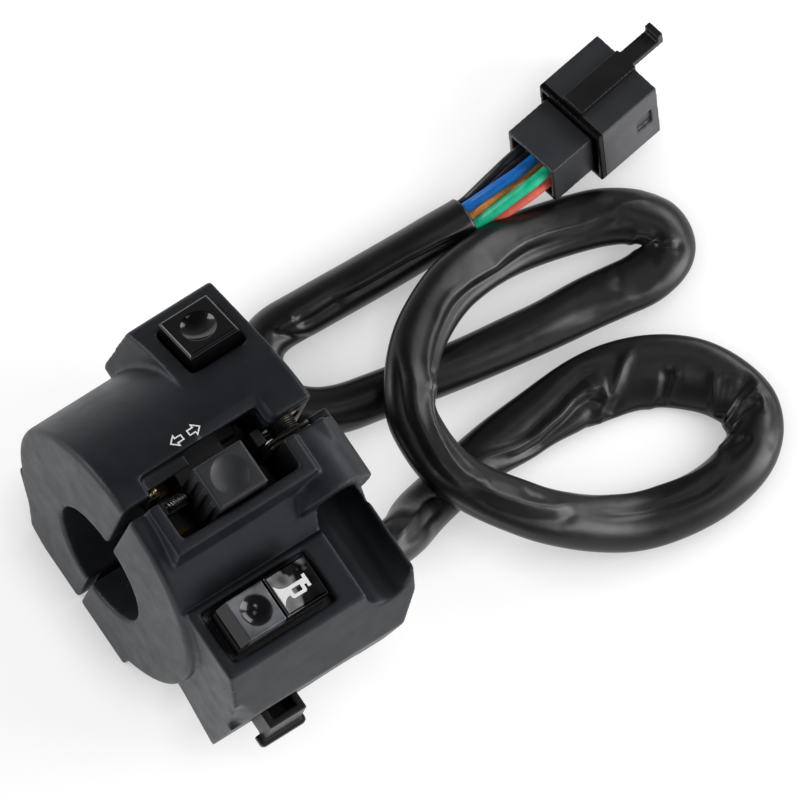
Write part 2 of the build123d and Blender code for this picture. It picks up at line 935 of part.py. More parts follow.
# the turn slider
with BuildPart() as turn_base:
    add(block((base_left_x, rail_right_x), (base_low_y, base_top_y), (base_low_z, base_floor_z)))
    add(
        block(
            (rail_right_x, base_right_x),
            (window_low_y + run_gap, base_top_y),
            (base_low_z, base_floor_z),
        )
    )
    for x in base_ear_xs:
        add(post(ear_r, x, ear_y, base_low_z, base_floor_z))
    # rails that guide the carriage
    add(
        block(
            (rail_left_x, rail_low_right_x),
            (base_low_y, carriage_low_y - run_gap),
            (base_floor_z, rail_top_z),
        )
    )
    add(
        block(
            (rail_left_x, rail_right_x),
            (carriage_top_y + run_gap, base_top_y),
            (base_floor_z, rail_top_z),
        )
    )
    # the lug that stops the knob at the right, and the post that carries the rivet
    add(block((lug_x, lug_x + stop_w), (stop_low_y, stop_top_y), (base_floor_z, stop_top_z)))
    add(
        block(
            (rivet_x - rivet_post / 2, rivet_x + rivet_post / 2),
            (rivet_y - rivet_post / 2, rivet_y + rivet_post / 2),
            (base_floor_z, rivet_seat_z),
        )
    )
    for x in base_ear_xs:
        add(
            post(small_screw_r + run_gap, x, ear_y, base_low_z - over, base_floor_z + over),
            mode=Mode.SUBTRACT,
        )
    # contact strips lie in three grooves, and the ball in a straight track with a dimple
    for y in contact_ys:
        add(
            block(
                (contact_left_x, contact_right_x),
                (y - contact_w / 2, y + contact_w / 2),
                (base_floor_z - contact_t, base_floor_z + over),
            ),
            mode=Mode.SUBTRACT,
        )
    add(
        block(
            (ball_x - track_half, ball_x + track_half),
            (ball_y - ball_r, ball_y + ball_r),
            (base_floor_z - track_depth, base_floor_z + over),
        ),
        mode=Mode.SUBTRACT,
    )

with BuildPart() as turn_contacts:
    for y in contact_ys:
        add(
            block(
                (contact_left_x, contact_right_x),
                (y - contact_w / 2, y + contact_w / 2),
                (base_floor_z - contact_t, base_floor_z),
            )
        )

with BuildPart() as turn_base_screws:
    for x in base_ear_xs:
        add(post(small_screw_r, x, ear_y, base_low_z - small_screw_l, base_floor_z))
        add(post(small_head_r, x, ear_y, base_floor_z, base_floor_z + small_head_h))

with BuildPart() as turn_carriage:
    add(
        block(
            (carriage_left_x, carriage_right_x),
            (carriage_low_y, carriage_top_y),
            (base_floor_z + run_gap, plate_low_z),
        )
    )
    add(post(ball_r + run_gap, ball_x, ball_y, base_floor_z, plate_low_z), mode=Mode.SUBTRACT)

with BuildPart() as turn_slide_plate:
    add(
        block((carriage_left_x, carriage_right_x), (plate_low_y, plate_top_y), (plate_low_z, plate_top_z))
    )
    # a tongue under the knob's left side, with a cradle for the coil
    add(
        block(
            (tongue_left_x, carriage_left_x),
            (coil_y - cradle_w / 2, coil_y + cradle_w / 2),
            (plate_low_z, plate_top_z),
        )
    )
    add(
        block(
            (tongue_left_x, coil_left_x),
            (coil_y - cradle_w / 2, coil_y + cradle_w / 2),
            (plate_top_z, coil_z),
        )
    )

with BuildPart() as turn_side_spring:
    add(coil(coil_r, coil_wire, coil_l, coil_turns, Pos(coil_left_x, coil_y, coil_z) * Rot(0, 90, 0)))

with BuildPart() as turn_detent_ball:
    add(ball(ball_r, ball_x, ball_y, ball_z))

with BuildPart() as turn_detent_spring:
    add(
        coil(
            ball_coil_r,
            coil_wire,
            plate_low_z - ball_z - ball_r,
            coil_turns / 2,
            Pos(ball_x, ball_y, ball_z + ball_r),
        )
    )

with BuildPart() as turn_rivet:
    add(post(rivet_r / 2, rivet_x, rivet_y, rivet_seat_z, rivet_seat_z + rivet_r))
    add(
        ball(rivet_r, rivet_x, rivet_y, rivet_seat_z + rivet_r / 2) & block(
            (rivet_x - over, rivet_x + over),
            (rivet_y - over, rivet_y + over),
            (rivet_seat_z, rivet_seat_z + 2 * rivet_r),
        )
    )

with BuildPart() as turn_knob:
    with BuildSketch(Plane.XY.offset(plate_top_z)):
        with Locations((knob_x, knob_y)):
            Rectangle(knob_w, knob_h)
    extrude(amount=knob_top_z - plate_top_z)
    fillet(turn_knob.faces().sort_by(Axis.Z)[-1].edges(), knob_edge_r)
    # three grip ribs down the left wall
    for share in knob_rib_shares:
        rib_y = knob_y + share * knob_h
        add(
            block(
                (knob_x - knob_w / 2 - knob_rib, knob_x - knob_w / 2),
                (rib_y - knob_rib_w / 2, rib_y + knob_rib_w / 2),
                (plate_top_z, knob_top_z - 2 * knob_edge_r),
            )
        )
    # the thumb's dish
    dish_sphere_r = (knob_dish_d**2 / 4 + knob_dish**2) / (2 * knob_dish)
    add(ball(dish_sphere_r, knob_x, knob_y, knob_top_z - knob_dish + dish_sphere_r), mode=Mode.SUBTRACT)
    # hollow underside
    add(
        block(
            (knob_x - knob_w / 2 + cap_wall, knob_x + knob_w / 2 - cap_wall),
            (knob_y - knob_h / 2 + cap_wall, knob_y + knob_h / 2 - cap_wall),
            (plate_top_z, knob_top_z - knob_dish - cap_wall),
        ),
        mode=Mode.SUBTRACT,
    )

# the dimmer button
with BuildPart() as dimmer_cap:
    add(tower_block(cap_size, cap_size, cap_skirt_low, cap_rise))
    fillet(dimmer_cap.faces().sort_by(tower_axis)[-1].edges(), cap_edge_r)
    add(
        tower_block(
            cap_size + 2 * flange_w,
            cap_size + 2 * flange_w,
            cap_skirt_low,
            cap_skirt_low + flange_t,
        )
    )
    cap_sphere_r = (cap_dish_d**2 / 4 + cap_dish**2) / (2 * cap_dish)
    with Locations(tower_plane(cap_rise - cap_dish + cap_sphere_r)):
        Sphere(cap_sphere_r, mode=Mode.SUBTRACT)
    add(
        tower_block(
            cap_size - 2 * cap_wall,
            cap_size - 2 * cap_wall,
            cap_skirt_low - over,
            cap_rise - cap_dish - cap_wall,
        ),
        mode=Mode.SUBTRACT,
    )
    # the stem that works the latch
    with BuildSketch(tower_plane(stem_low)):
        Circle(stem_r)
    extrude(amount=cap_rise - cap_dish - cap_wall - stem_low)

with BuildPart() as dimmer_switch_body:
    add(tower_block(body_w, body_h, body_low, body_top))
    with BuildSketch(tower_plane(body_top)):
        Circle(stem_r + run_gap)
    extrude(amount=-(body_top - stem_low + cap_travel + cap_gap), mode=Mode.SUBTRACT)

with BuildPart() as dimmer_spring:
    add(coil(dim_coil_r, dim_wire, dim_coil_l, dim_turns, Location(tower_plane(body_top))))

with BuildPart() as dimmer_terminals:
    for side in (-1, 0, 1):
        with BuildSketch(tower_plane(body_low)):
            with Locations((side * terminal_pitch, 0)):
                Rectangle(terminal_t, terminal_w)
        extrude(amount=-terminal_l)

# the horn button
with BuildPart() as horn_carrier:
    add(
        block(
            (carrier_left_x, carrier_right_x),
            (carrier_low_y, carrier_top_y),
            (carrier_low_z, carrier_top_z),
        )
    )
    add(
        block(
            (pad_left_x, tile_right_x),
            (horn_mid_y - horn_cap_h / 2, horn_mid_y + horn_cap_h / 2),
            (carrier_top_z, horn_seat_z),
        )
    )
    add(post(dim_coil_r - dim_wire, horn_coil_x, horn_mid_y, carrier_low_z - horn_pilot, carrier_low_z))

with BuildPart() as horn_pad:
    with BuildSketch(Plane.XY.offset(horn_seat_z)):
        with Locations(((pad_left_x + pad_right_x) / 2, horn_mid_y)):
            Rectangle(pad_right_x - pad_left_x, horn_cap_h)
    extrude(amount=horn_top_z - horn_seat_z)
    # the left wall slopes up to the face
    with BuildSketch(Plane.XZ.offset(-horn_mid_y - horn_cap_h)):
        with BuildLine():
            Polyline(
                (pad_left_x - over, horn_seat_z + pad_step),
                (pad_left_x, horn_seat_z + pad_step),
                (pad_left_x + pad_slope, horn_top_z),
                (pad_left_x + pad_slope, horn_top_z + over),
                (pad_left_x - over, horn_top_z + over),
                close=True,
            )
        make_face()
    extrude(amount=2 * horn_cap_h, mode=Mode.SUBTRACT)
    fillet(horn_pad.faces().sort_by(Axis.Z)[-1].edges(), horn_edge_r)
    pad_sphere_r = (pad_dish_d**2 / 4 + pad_dish**2) / (2 * pad_dish)
    pad_middle_x = (pad_left_x + pad_slope + pad_right_x) / 2
    add(
        ball(pad_sphere_r, pad_middle_x, horn_mid_y, horn_top_z - pad_dish + pad_sphere_r),
        mode=Mode.SUBTRACT,
    )

with BuildPart() as horn_symbol_tile:
    with BuildSketch(Plane.XY.offset(horn_seat_z)):
        with Locations(((tile_left_x + tile_right_x) / 2, horn_mid_y)):
            Rectangle(tile_right_x - tile_left_x, horn_cap_h)
    extrude(amount=horn_top_z - horn_seat_z)
    fillet(horn_symbol_tile.faces().sort_by(Axis.Z)[-1].edges(), horn_edge_r)

with BuildPart() as horn_base:
    add(
        block(
            (box_room_left_x + fit_gap, horn_base_right_x),
            (horn_mid_y - horn_base_h / 2 - wall / 2, horn_mid_y + horn_base_h / 2 + wall / 2),
            (base_shelf_z, horn_base_top_z),
        )
    )
    add(
        post(
            dim_coil_r - dim_wire,
            horn_coil_x,
            horn_mid_y,
            horn_base_top_z,
            horn_base_top_z + horn_pilot,
        )
    )

with BuildPart() as horn_spring:
    add(
        coil(
            dim_coil_r,
            dim_wire,
            carrier_low_z - horn_base_top_z,
            horn_turns,
            Pos(horn_coil_x, horn_mid_y, horn_base_top_z),
        )
    )

with BuildPart() as horn_contacts:
    for x in (horn_coil_x - horn_contact_pitch, horn_coil_x + horn_contact_pitch):
        add(
            block(
                (x - terminal_w / 2, x + terminal_w / 2),
                (horn_mid_y - terminal_w / 2, horn_mid_y + terminal_w / 2),
                (horn_base_top_z, horn_base_top_z + terminal_t),
            )
        )

# the pass trigger
with BuildPart() as pass_trigger:
    add(
        block(
            (pass_x - pass_w / 2, pass_x + pass_w / 2),
            (pass_tip_y, pin_y + lug_r),
            (pass_low_z, pass_high_z),
        )
    )
    # the finger plate on its front
    add(
        block(
            (pass_x - pass_w / 2 - plate_lip, pass_x + pass_w / 2 + plate_lip),
            (pass_tip_y - plate_lip, box_toe_y - pass_gap),
            (pass_low_z - plate_tip_t, pass_low_z),
        )
    )
    fillet(pass_trigger.edges().filter_by(Axis.Z).group_by(Axis.Y)[0], pass_corner_r)
    # hollow from the rear
    add(
        block(
            (pass_x - pass_w / 2 + pass_wall, pass_x + pass_w / 2 - pass_wall),
            (pass_tip_y + pass_wall, pin_y - pin_r - pass_wall),
            (pass_low_z + pass_wall, pass_high_z + over),
        ),
        mode=Mode.SUBTRACT,
    )
    add(
        block(
            (pass_x - pass_coil_l / 2 - pass_gap, pass_x + pass_coil_l / 2 + pass_gap),
            (pin_y - pin_r - pass_wall - over, pin_y + lug_r + over),
            (pass_low_z + pass_wall, pass_high_z + over),
        ),
        mode=Mode.SUBTRACT,
    )
    add(Pos(0, pin_y, pin_z) * bar_tube(pin_r + pin_gap, pin_left_x, pin_right_x), mode=Mode.SUBTRACT)

with BuildPart() as pass_pivot_pin:
    add(Pos(0, pin_y, pin_z) * bar_tube(pin_r, pin_left_x, pin_right_x))

with BuildPart() as pass_spring:
    add(
        coil(
            pin_r + spring_gap + coil_wire / 2,
            coil_wire,
            pass_coil_l,
            coil_turns / 2,
            Pos(pass_x - pass_coil_l / 2, pin_y, pin_z) * Rot(0, 90, 0),
        )
    )

with BuildPart() as pass_switch_body:
    add(
        block(
            (pass_x - switch_w / 2, pass_x + switch_w / 2),
            (pin_y - switch_drop, pin_y + switch_rise),
            (pass_high_z + switch_gap, base_shelf_z),
        )
    )

# the harness where it leaves the box
with BuildPart() as harness_grommet:
    add(
        Pos(0, exit_y, exit_z) * bar_tube(grommet_neck_r, end_x - wall - grommet_lip, end_x + grommet_lip)
    )
    add(Pos(0, exit_y, exit_z) * bar_tube(grommet_flange_r, end_x, end_x + grommet_lip))
    add(Pos(0, exit_y, exit_z) * bar_tube(grommet_flange_r, end_x - wall - grommet_lip, end_x - wall))

print("sleeve radii")
sleeve_radii = bend_radii(sleeve_route)
print([round(r, 1) for r in sleeve_radii])
with BuildPart() as harness_sleeve:
    with BuildLine() as sleeve_line:
        FilletPolyline(*sleeve_route, radius=sleeve_radii)
    with BuildSketch(Plane(origin=sleeve_line.line @ 0, z_dir=sleeve_line.line % 0)):
        Circle(sleeve_d / 2)
    sweep()
sleeve_length = sum(edge.length for edge in sleeve_line.line.edges())
print(
    "sleeve length",
    sleeve_length,
    "volume share",
    harness_sleeve.part.volume / (sleeve_length * pi * sleeve_d**2 / 4),
)

# the thin wires that cross the gap behind the rear screw
thin_wire_z = screw_z + screw_d / 2 + thin_wire_d / 2 + thin_wire_gap
with BuildPart() as internal_wires:
    for y in thin_wire_ys:
        route = [
            (thin_wire_left_x, y, base_floor_z),
            (thin_wire_left_x, y, thin_wire_z),
            (thin_wire_right_x, y, thin_wire_z),
            (thin_wire_right_x, y, thin_wire_low_z),
        ]
        with BuildLine() as wire_line:
            FilletPolyline(*route, radius=2 * thin_wire_d)
        with BuildSketch(Plane(origin=wire_line.line @ 0, z_dir=wire_line.line % 0)):
            Circle(thin_wire_d / 2)
        sweep()

# the connector, in a frame of its own that rests on its lower left edge
plug_rise = front_z + plug_rest + shroud_w / 2 * sin(radians(plug_roll))
plug_frame = Plane(
    origin=(plug_x, plug_y, plug_rise),
    x_dir=(cos(radians(plug_turn)), sin(radians(plug_turn)), 0),
    z_dir=(
        -sin(radians(plug_turn)) * sin(radians(plug_roll)),
        cos(radians(plug_turn)) * sin(radians(plug_roll)),
        cos(radians(plug_roll)),
    ),
)
cells = [
    (side * column_pitch, level * row_pitch / 2)
    for side in (1, 0, -1)
    for level in (1, -1)
]
cell_mid = block_low + block_h / 2

with BuildPart() as connector_built:
    add(block((0, block_l + moat_l), (-block_w / 2, block_w / 2), (block_low, block_low + block_h)))
    add(block((block_l, plug_l), (-shroud_w / 2, shroud_w / 2), (0, shroud_h)))
    # a moat behind the shroud, round the block's top and sides
    moat = block(
        (block_l - over, block_l + moat_l),
        (-block_w / 2 - moat_w, block_w / 2 + moat_w),
        (block_low - moat_w, block_low + block_h + moat_w),
    )
    inner = block(
        (0, block_l + moat_l + over),
        (-block_w / 2, block_w / 2),
        (block_low, block_low + block_h),
    )
    add(
        (moat - inner)
        & block(
            (0, plug_l),
            (-shroud_w / 2 + moat_side, shroud_w / 2 - moat_side),
            (moat_side, shroud_h - moat_side),
        ),
        mode=Mode.SUBTRACT,
    )
    # the mating mouth and the rear pocket
    add(
        block(
            (block_l + moat_l + shroud_wall, plug_l + over),
            (-shroud_w / 2 + shroud_wall, shroud_w / 2 - shroud_wall),
            (shroud_wall, shroud_h - shroud_wall),
        ),
        mode=Mode.SUBTRACT,
    )
    add(
        block(
            (-over, rear_pocket),
            (-block_w / 2 + rear_wall, block_w / 2 - rear_wall),
            (block_low + rear_wall, block_low + block_h - rear_wall),
        ),
        mode=Mode.SUBTRACT,
    )
    for y, z in cells:
        add(
            Pos(0, y, cell_mid + z) * bar_tube(
                cell_d / 2,
                rear_pocket - over,
                block_l + moat_l + shroud_wall + over,
            ),
            mode=Mode.SUBTRACT,
        )
    # a pocket in the right side near the mouth
    add(
        block(
            (plug_l - pocket_front - pocket_l, plug_l - pocket_front),
            (-shroud_w / 2 - over, -shroud_w / 2 + shroud_wall / 2),
            (shroud_h / 2 - pocket_h / 2, shroud_h / 2 + pocket_h / 2),
        ),
        mode=Mode.SUBTRACT,
    )

with BuildPart() as latch_built:
    add(
        block((block_l + latch_rear, plug_l), (-latch_w / 2, latch_w / 2), (shroud_h, shroud_h + latch_h))
    )
    add(
        block((plug_l, plug_l + tongue_l), (-tongue_w / 2, tongue_w / 2), (shroud_h, shroud_h + tongue_t))
    )
    add(
        block(
            (plug_l + tongue_l - hook_l, plug_l + tongue_l),
            (-tongue_w / 2, tongue_w / 2),
            (shroud_h, shroud_h + tongue_t + hook_h),
        )
    )

with BuildPart() as terminals_built:
    for y, z in cells:
        add(
            Pos(0, y, cell_mid + z) * bar_tube(
                cell_d / 2 - fit_gap,
                rear_pocket + wire_d,
                block_l + moat_l + shroud_wall,
            )
        )
        add(
            block(
                (block_l + moat_l + shroud_wall, block_l + moat_l + pin_l),
                (y - pin_w / 2, y + pin_w / 2),
                (cell_mid + z - pin_w / 2, cell_mid + z + pin_w / 2),
            )
        )

connector_housing = plug_frame.location * connector_built.part
connector_latch = plug_frame.location * latch_built.part
connector_terminals = plug_frame.location * terminals_built.part

# the wires between them
sleeve_end = Vector(*sleeve_route[-1])
sleeve_out = (sleeve_end - Vector(*sleeve_route[-2])).normalized()
sleeve_side = Vector(-sleeve_out.Y, sleeve_out.X, 0)
wire_names = ("black", "black_white", "blue", "orange", "green", "red")
wires = {}
for name, (y, z) in zip(wire_names, cells):
    # the upper row fans out over the top of the sleeve's end, the lower row under it
    level = z / abs(z)
    around = radians(level * (ring_top - ring_step * y / column_pitch) - plug_roll)
    start = sleeve_end + sleeve_side * (wire_ring * cos(around)) + Vector(0, 0, wire_ring * sin(around))
    seat = plug_frame.from_local_coords(Vector(rear_pocket + wire_d, y, cell_mid + z))
    lead = plug_frame.from_local_coords(Vector(-wire_reach, y, cell_mid + z))
    route = [start, start + sleeve_out * wire_reach, lead, seat]
    with BuildPart() as wire:
        with BuildLine() as wire_line:
            FilletPolyline(
                *route,
                radius=[min(3 * wire_d, r) for r in bend_radii([tuple(q) for q in route])],
            )
        with BuildSketch(Plane(origin=wire_line.line @ 0, z_dir=wire_line.line % 0)):
            Circle(wire_d / 2)
        sweep()
    wires[name] = wire
    print("wire", name, "length", sum(edge.length for edge in wire_line.line.edges()))

made_parts = {
    "upper_housing": upper_housing,
    "lower_housing": lower_housing,
    "clamp_screws": clamp_screws,
    "threaded_inserts": threaded_inserts,
    "turn_base": turn_base,
    "turn_contacts": turn_contacts,
    "turn_base_screws": turn_base_screws,
    "turn_carriage": turn_carriage,
    "turn_slide_plate": turn_slide_plate,
    "turn_side_spring": turn_side_spring,
    "turn_detent_ball": turn_detent_ball,
    "turn_detent_spring": turn_detent_spring,
    "turn_rivet": turn_rivet,
    "turn_knob": turn_knob,
    "dimmer_cap": dimmer_cap,
    "dimmer_switch_body": dimmer_switch_body,
    "dimmer_spring": dimmer_spring,
    "dimmer_terminals": dimmer_terminals,
    "horn_carrier": horn_carrier,
    "horn_pad": horn_pad,
    "horn_symbol_tile": horn_symbol_tile,
    "horn_base": horn_base,
    "horn_spring": horn_spring,
    "horn_contacts": horn_contacts,
    "pass_trigger": pass_trigger,
    "pass_pivot_pin": pass_pivot_pin,
    "pass_spring": pass_spring,
    "pass_switch_body": pass_switch_body,
    "harness_grommet": harness_grommet,
    "harness_sleeve": harness_sleeve,
    "internal_wires": internal_wires,
}
shapes = {name: made.part for name, made in made_parts.items()}
shapes["connector_housing"] = connector_housing
shapes["connector_latch"] = connector_latch
shapes["connector_terminals"] = connector_terminals
for name, wire in wires.items():
    shapes["wire_" + name] = wire.part
for name, shape in shapes.items():
    shape.label = name
    export_step(shape, f"parts/{name}.step")
    bounds = shape.bounding_box()
    print(name, round(shape.volume, 1), len(shape.solids()), bounds.min, bounds.max)
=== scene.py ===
import math

import bmesh
import bpy
from mathutils import Matrix, Vector


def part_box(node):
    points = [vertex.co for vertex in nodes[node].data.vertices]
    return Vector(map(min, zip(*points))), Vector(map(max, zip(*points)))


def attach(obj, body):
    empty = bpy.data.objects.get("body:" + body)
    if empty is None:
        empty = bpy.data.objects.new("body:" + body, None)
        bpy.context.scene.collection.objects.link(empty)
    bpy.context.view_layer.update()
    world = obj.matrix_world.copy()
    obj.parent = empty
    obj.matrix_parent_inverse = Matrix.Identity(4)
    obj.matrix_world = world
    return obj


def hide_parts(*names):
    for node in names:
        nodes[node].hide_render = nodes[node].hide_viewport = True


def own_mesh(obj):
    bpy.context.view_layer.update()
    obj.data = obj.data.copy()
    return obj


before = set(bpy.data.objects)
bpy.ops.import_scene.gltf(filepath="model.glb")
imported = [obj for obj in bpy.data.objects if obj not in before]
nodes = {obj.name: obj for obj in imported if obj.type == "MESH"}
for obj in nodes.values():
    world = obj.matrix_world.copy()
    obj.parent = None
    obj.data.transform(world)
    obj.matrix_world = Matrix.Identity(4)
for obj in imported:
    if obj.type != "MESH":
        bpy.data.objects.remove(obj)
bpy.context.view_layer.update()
mm = 0.001
floorZ = -22.0 * mm
print("frame loaded", len(nodes), "nodes")

# where the plug lies: its turn on the table, the roll about its own length (both in degrees), and
# its near corner, half width, gap over the table and middle height of its cells, in millimetres
plugPlace = {
    "turn": 8.6,
    "roll": 17.0,
    "corner": (85.2, 18.1),
    "halfWidth": 7.2,
    "tableGap": 0.02,
    "cellMiddle": 7.5,
}
plugTurn = math.radians(plugPlace["turn"])
plugRoll = math.radians(plugPlace["roll"])
plugX = Vector((math.cos(plugTurn), math.sin(plugTurn), 0))
plugZ = Vector(
    (
        -math.sin(plugTurn) * math.sin(plugRoll),
        math.cos(plugTurn) * math.sin(plugRoll),
        math.cos(plugRoll),
    )
)
plugY = plugZ.cross(plugX)
plugLift = plugPlace["tableGap"] + plugPlace["halfWidth"] * math.sin(plugRoll)
plugOrigin = Vector((*plugPlace["corner"], floorZ / mm + plugLift))


def inPlug(x, y, z):
    # a place in the plug's own frame, in millimetres of the row frame
    return plugOrigin + plugX * x + plugY * y + plugZ * z


# small helpers for the nodes of every material
def feed(tree, socket, value):
    # links another node's output, or sets a number, a vector or a colour
    if isinstance(value, bpy.types.NodeSocket):
        tree.links.new(value, socket)
    elif socket.type == "RGBA":
        socket.default_value = (*value, 1)
    else:
        socket.default_value = value


def spread(tree, value, low, high, fromLow=0.3, fromHigh=0.7):
    # the value's run between fromLow and fromHigh stretched over low to high
    node = tree.nodes.new("ShaderNodeMapRange")
    feed(tree, node.inputs["Value"], value)
    feed(tree, node.inputs["From Min"], fromLow)
    feed(tree, node.inputs["From Max"], fromHigh)
    feed(tree, node.inputs["To Min"], low)
    feed(tree, node.inputs["To Max"], high)
    return node.outputs[0]


def calculate(tree, operation, first, second=None):
    node = tree.nodes.new("ShaderNodeMath")
    node.operation = operation
    feed(tree, node.inputs[0], first)
    if second is not None:
        feed(tree, node.inputs[1], second)
    return node.outputs[0]


def reachAlong(tree, place, direction):
    # how far a place lies along a direction
    node = tree.nodes.new("ShaderNodeVectorMath")
    node.operation = "DOT_PRODUCT"
    feed(tree, node.inputs[0], place)
    node.inputs[1].default_value = direction
    return node.outputs["Value"]


def splitPlace(tree, place):
    node = tree.nodes.new("ShaderNodeSeparateXYZ")
    tree.links.new(place, node.inputs[0])
    return node.outputs


def noise(tree, place, scale, detail, softness=0.5):
    field = tree.nodes.new("ShaderNodeTexNoise")
    feed(tree, field.inputs["Vector"], place)
    feed(tree, field.inputs["Scale"], scale)
    feed(tree, field.inputs["Detail"], detail)
    feed(tree, field.inputs["Roughness"], softness)
    return field.outputs["Fac"]


def blendColours(tree, factor, first, second, blend="MIX"):
    node = tree.nodes.new("ShaderNodeMix")
    node.data_type = "RGBA"
    node.blend_type = blend
    feed(tree, node.inputs["Factor"], factor)
    feed(tree, node.inputs[6], first)  # the two colours
    feed(tree, node.inputs[7], second)
    return node.outputs[2]  # the blended colour


def bump(tree, height, distance, strength, below=None):
    node = tree.nodes.new("ShaderNodeBump")
    feed(tree, node.inputs["Height"], height)
    feed(tree, node.inputs["Distance"], distance)
    feed(tree, node.inputs["Strength"], strength)
    if below is not None:
        tree.links.new(below, node.inputs["Normal"])
    return node.outputs[0]


# the photograph's view: the directions that are right and up in it, the place it looks at in
# millimetres, the camera's distance and how far it sees in metres, and its scale
view = {
    "right": (0.816, -0.557, 0.153),
    "up": (0.509, 0.819, 0.2655),
    "target": (42.1, -1.9, -10.0),
    "distance": 0.6,
    "seesTo": 10,
    "imageSide": 800,
    "pixelsPerMm": 5.95,
}
viewRight = Vector(view["right"]).normalized()
viewUp = Vector(view["up"]).normalized()
viewBack = viewRight.cross(viewUp).normalized()
viewUp = viewBack.cross(viewRight).normalized()
viewTarget = Vector(view["target"]) * mm


def placeCamera():
    data = bpy.data.cameras.new("camera")
    data.type = "ORTHO"
    data.ortho_scale = view["imageSide"] / view["pixelsPerMm"] * mm
    data.clip_end = view["seesTo"]
    camera = bpy.data.objects.new("camera", data)
    bpy.context.scene.collection.objects.link(camera)
    turn = Matrix((viewRight, viewUp, viewBack)).transposed().to_4x4()
    camera.matrix_world = Matrix.Translation(viewTarget + viewBack * view["distance"]) @ turn
    bpy.context.scene.camera = camera


# soft lamps: where each stands (right, up, back in the picture), its distance and size in metres
lamps = {
    "keyLight": {"stands": (-0.95, 0.35, 0.5), "distance": 0.62, "size": (0.34, 0.3), "watts": 1.5},
    "sideLight": {"stands": (1.0, 0.05, 0.4), "distance": 0.62, "size": (0.3, 0.5), "watts": 2.5},
    "frontLight": {"stands": (-0.3, -0.95, 0.4), "distance": 0.62, "size": (0.4, 0.12), "watts": 0.4},
    "farLight": {"stands": (0.72, 0.78, 0.34), "distance": 0.62, "size": (0.4, 0.2), "watts": 1.1},
    "panelLight": {"stands": (0.29, 0.51, 0.81), "distance": 0.6, "size": (0.1, 0.14), "watts": 0.07},
    "leftStrip": {"stands": (0.2, 0.1, 1.0), "distance": 0.5, "size": (0.012, 0.1), "watts": 0.05},
    "rightStrip": {"stands": (0.3, 0.08, 1.0), "distance": 0.5, "size": (0.012, 0.07), "watts": 0.04},
}


def softbox(name, lamp):
    right, up, back = lamp["stands"]
    direction = (viewRight * right + viewUp * up + viewBack * back).normalized()
    data = bpy.data.lights.new(name, "AREA")
    data.shape = "RECTANGLE"
    data.size, data.size_y = lamp["size"]
    data.energy = lamp["watts"]
    box = bpy.data.objects.new(name, data)
    bpy.context.scene.collection.objects.link(box)
    box.location = viewTarget + direction * lamp["distance"]
    box.rotation_euler = direction.to_track_quat("Z", "Y").to_euler()


# the room's brightness: at the table's height, at shares of the way up, overhead where the camera
# stands, and on the far side towards the top of the picture
room = {
    "low": (1.0, 1.0, 1.0),
    "levels": {0.3: 0.85, 0.55: 0.32, 0.78: 0.08},
    "blueShare": 1.04,
    "overhead": (0.05, 0.055, 0.065),
    "farSide": (0.528, 0.849, 0.0),
    "farLevel": 0.3,
    "farFrom": 0.85,
}


def lightRoom():
    scene = bpy.context.scene
    scene.view_settings.view_transform = "Standard"
    world = bpy.data.worlds.new("studio")
    scene.world = world
    world.use_nodes = True
    tree = world.node_tree
    tree.nodes.clear()
    toward = tree.nodes.new("ShaderNodeTexCoord").outputs["Generated"]
    ramp = tree.nodes.new("ShaderNodeValToRGB")
    stops = ramp.color_ramp.elements
    stops[0].color = (*room["low"], 1)
    stops[1].color = (*room["overhead"], 1)
    for position, level in room["levels"].items():
        stops.new(position).color = (level, level, level * room["blueShare"], 1)
    tree.links.new(splitPlace(tree, toward)["Z"], ramp.inputs["Fac"])
    across = reachAlong(tree, toward, room["farSide"])
    dim = spread(tree, across, 1.0, room["farLevel"], 0.0, room["farFrom"])
    shaded = blendColours(tree, 1.0, ramp.outputs["Color"], dim, "MULTIPLY")
    air = tree.nodes.new("ShaderNodeBackground")
    tree.links.new(shaded, air.inputs["Color"])
    white = tree.nodes.new("ShaderNodeBackground")
    white.inputs["Color"].default_value = (1, 1, 1, 1)
    path = tree.nodes.new("ShaderNodeLightPath")
    mix = tree.nodes.new("ShaderNodeMixShader")
    out = tree.nodes.new("ShaderNodeOutputWorld")
    tree.links.new(path.outputs["Is Camera Ray"], mix.inputs[0])
    tree.links.new(air.outputs[0], mix.inputs[1])
    tree.links.new(white.outputs[0], mix.inputs[2])
    tree.links.new(mix.outputs[0], out.inputs[0])
    for name, lamp in lamps.items():
        softbox(name, lamp)


# the table: half its side in metres, and how its glow fades within a reach in millimetres
tableLook = {
    "half": 1.6,
    "colour": (0.93, 0.93, 0.935),
    "glowShare": 0.6,
    "glowNear": 0.72,
    "glowOpen": 1.28,
    "openFrom": 0.35,
    "openTo": 0.95,
    "shadowReach": 10,
    "shadowSamples": 12,
}


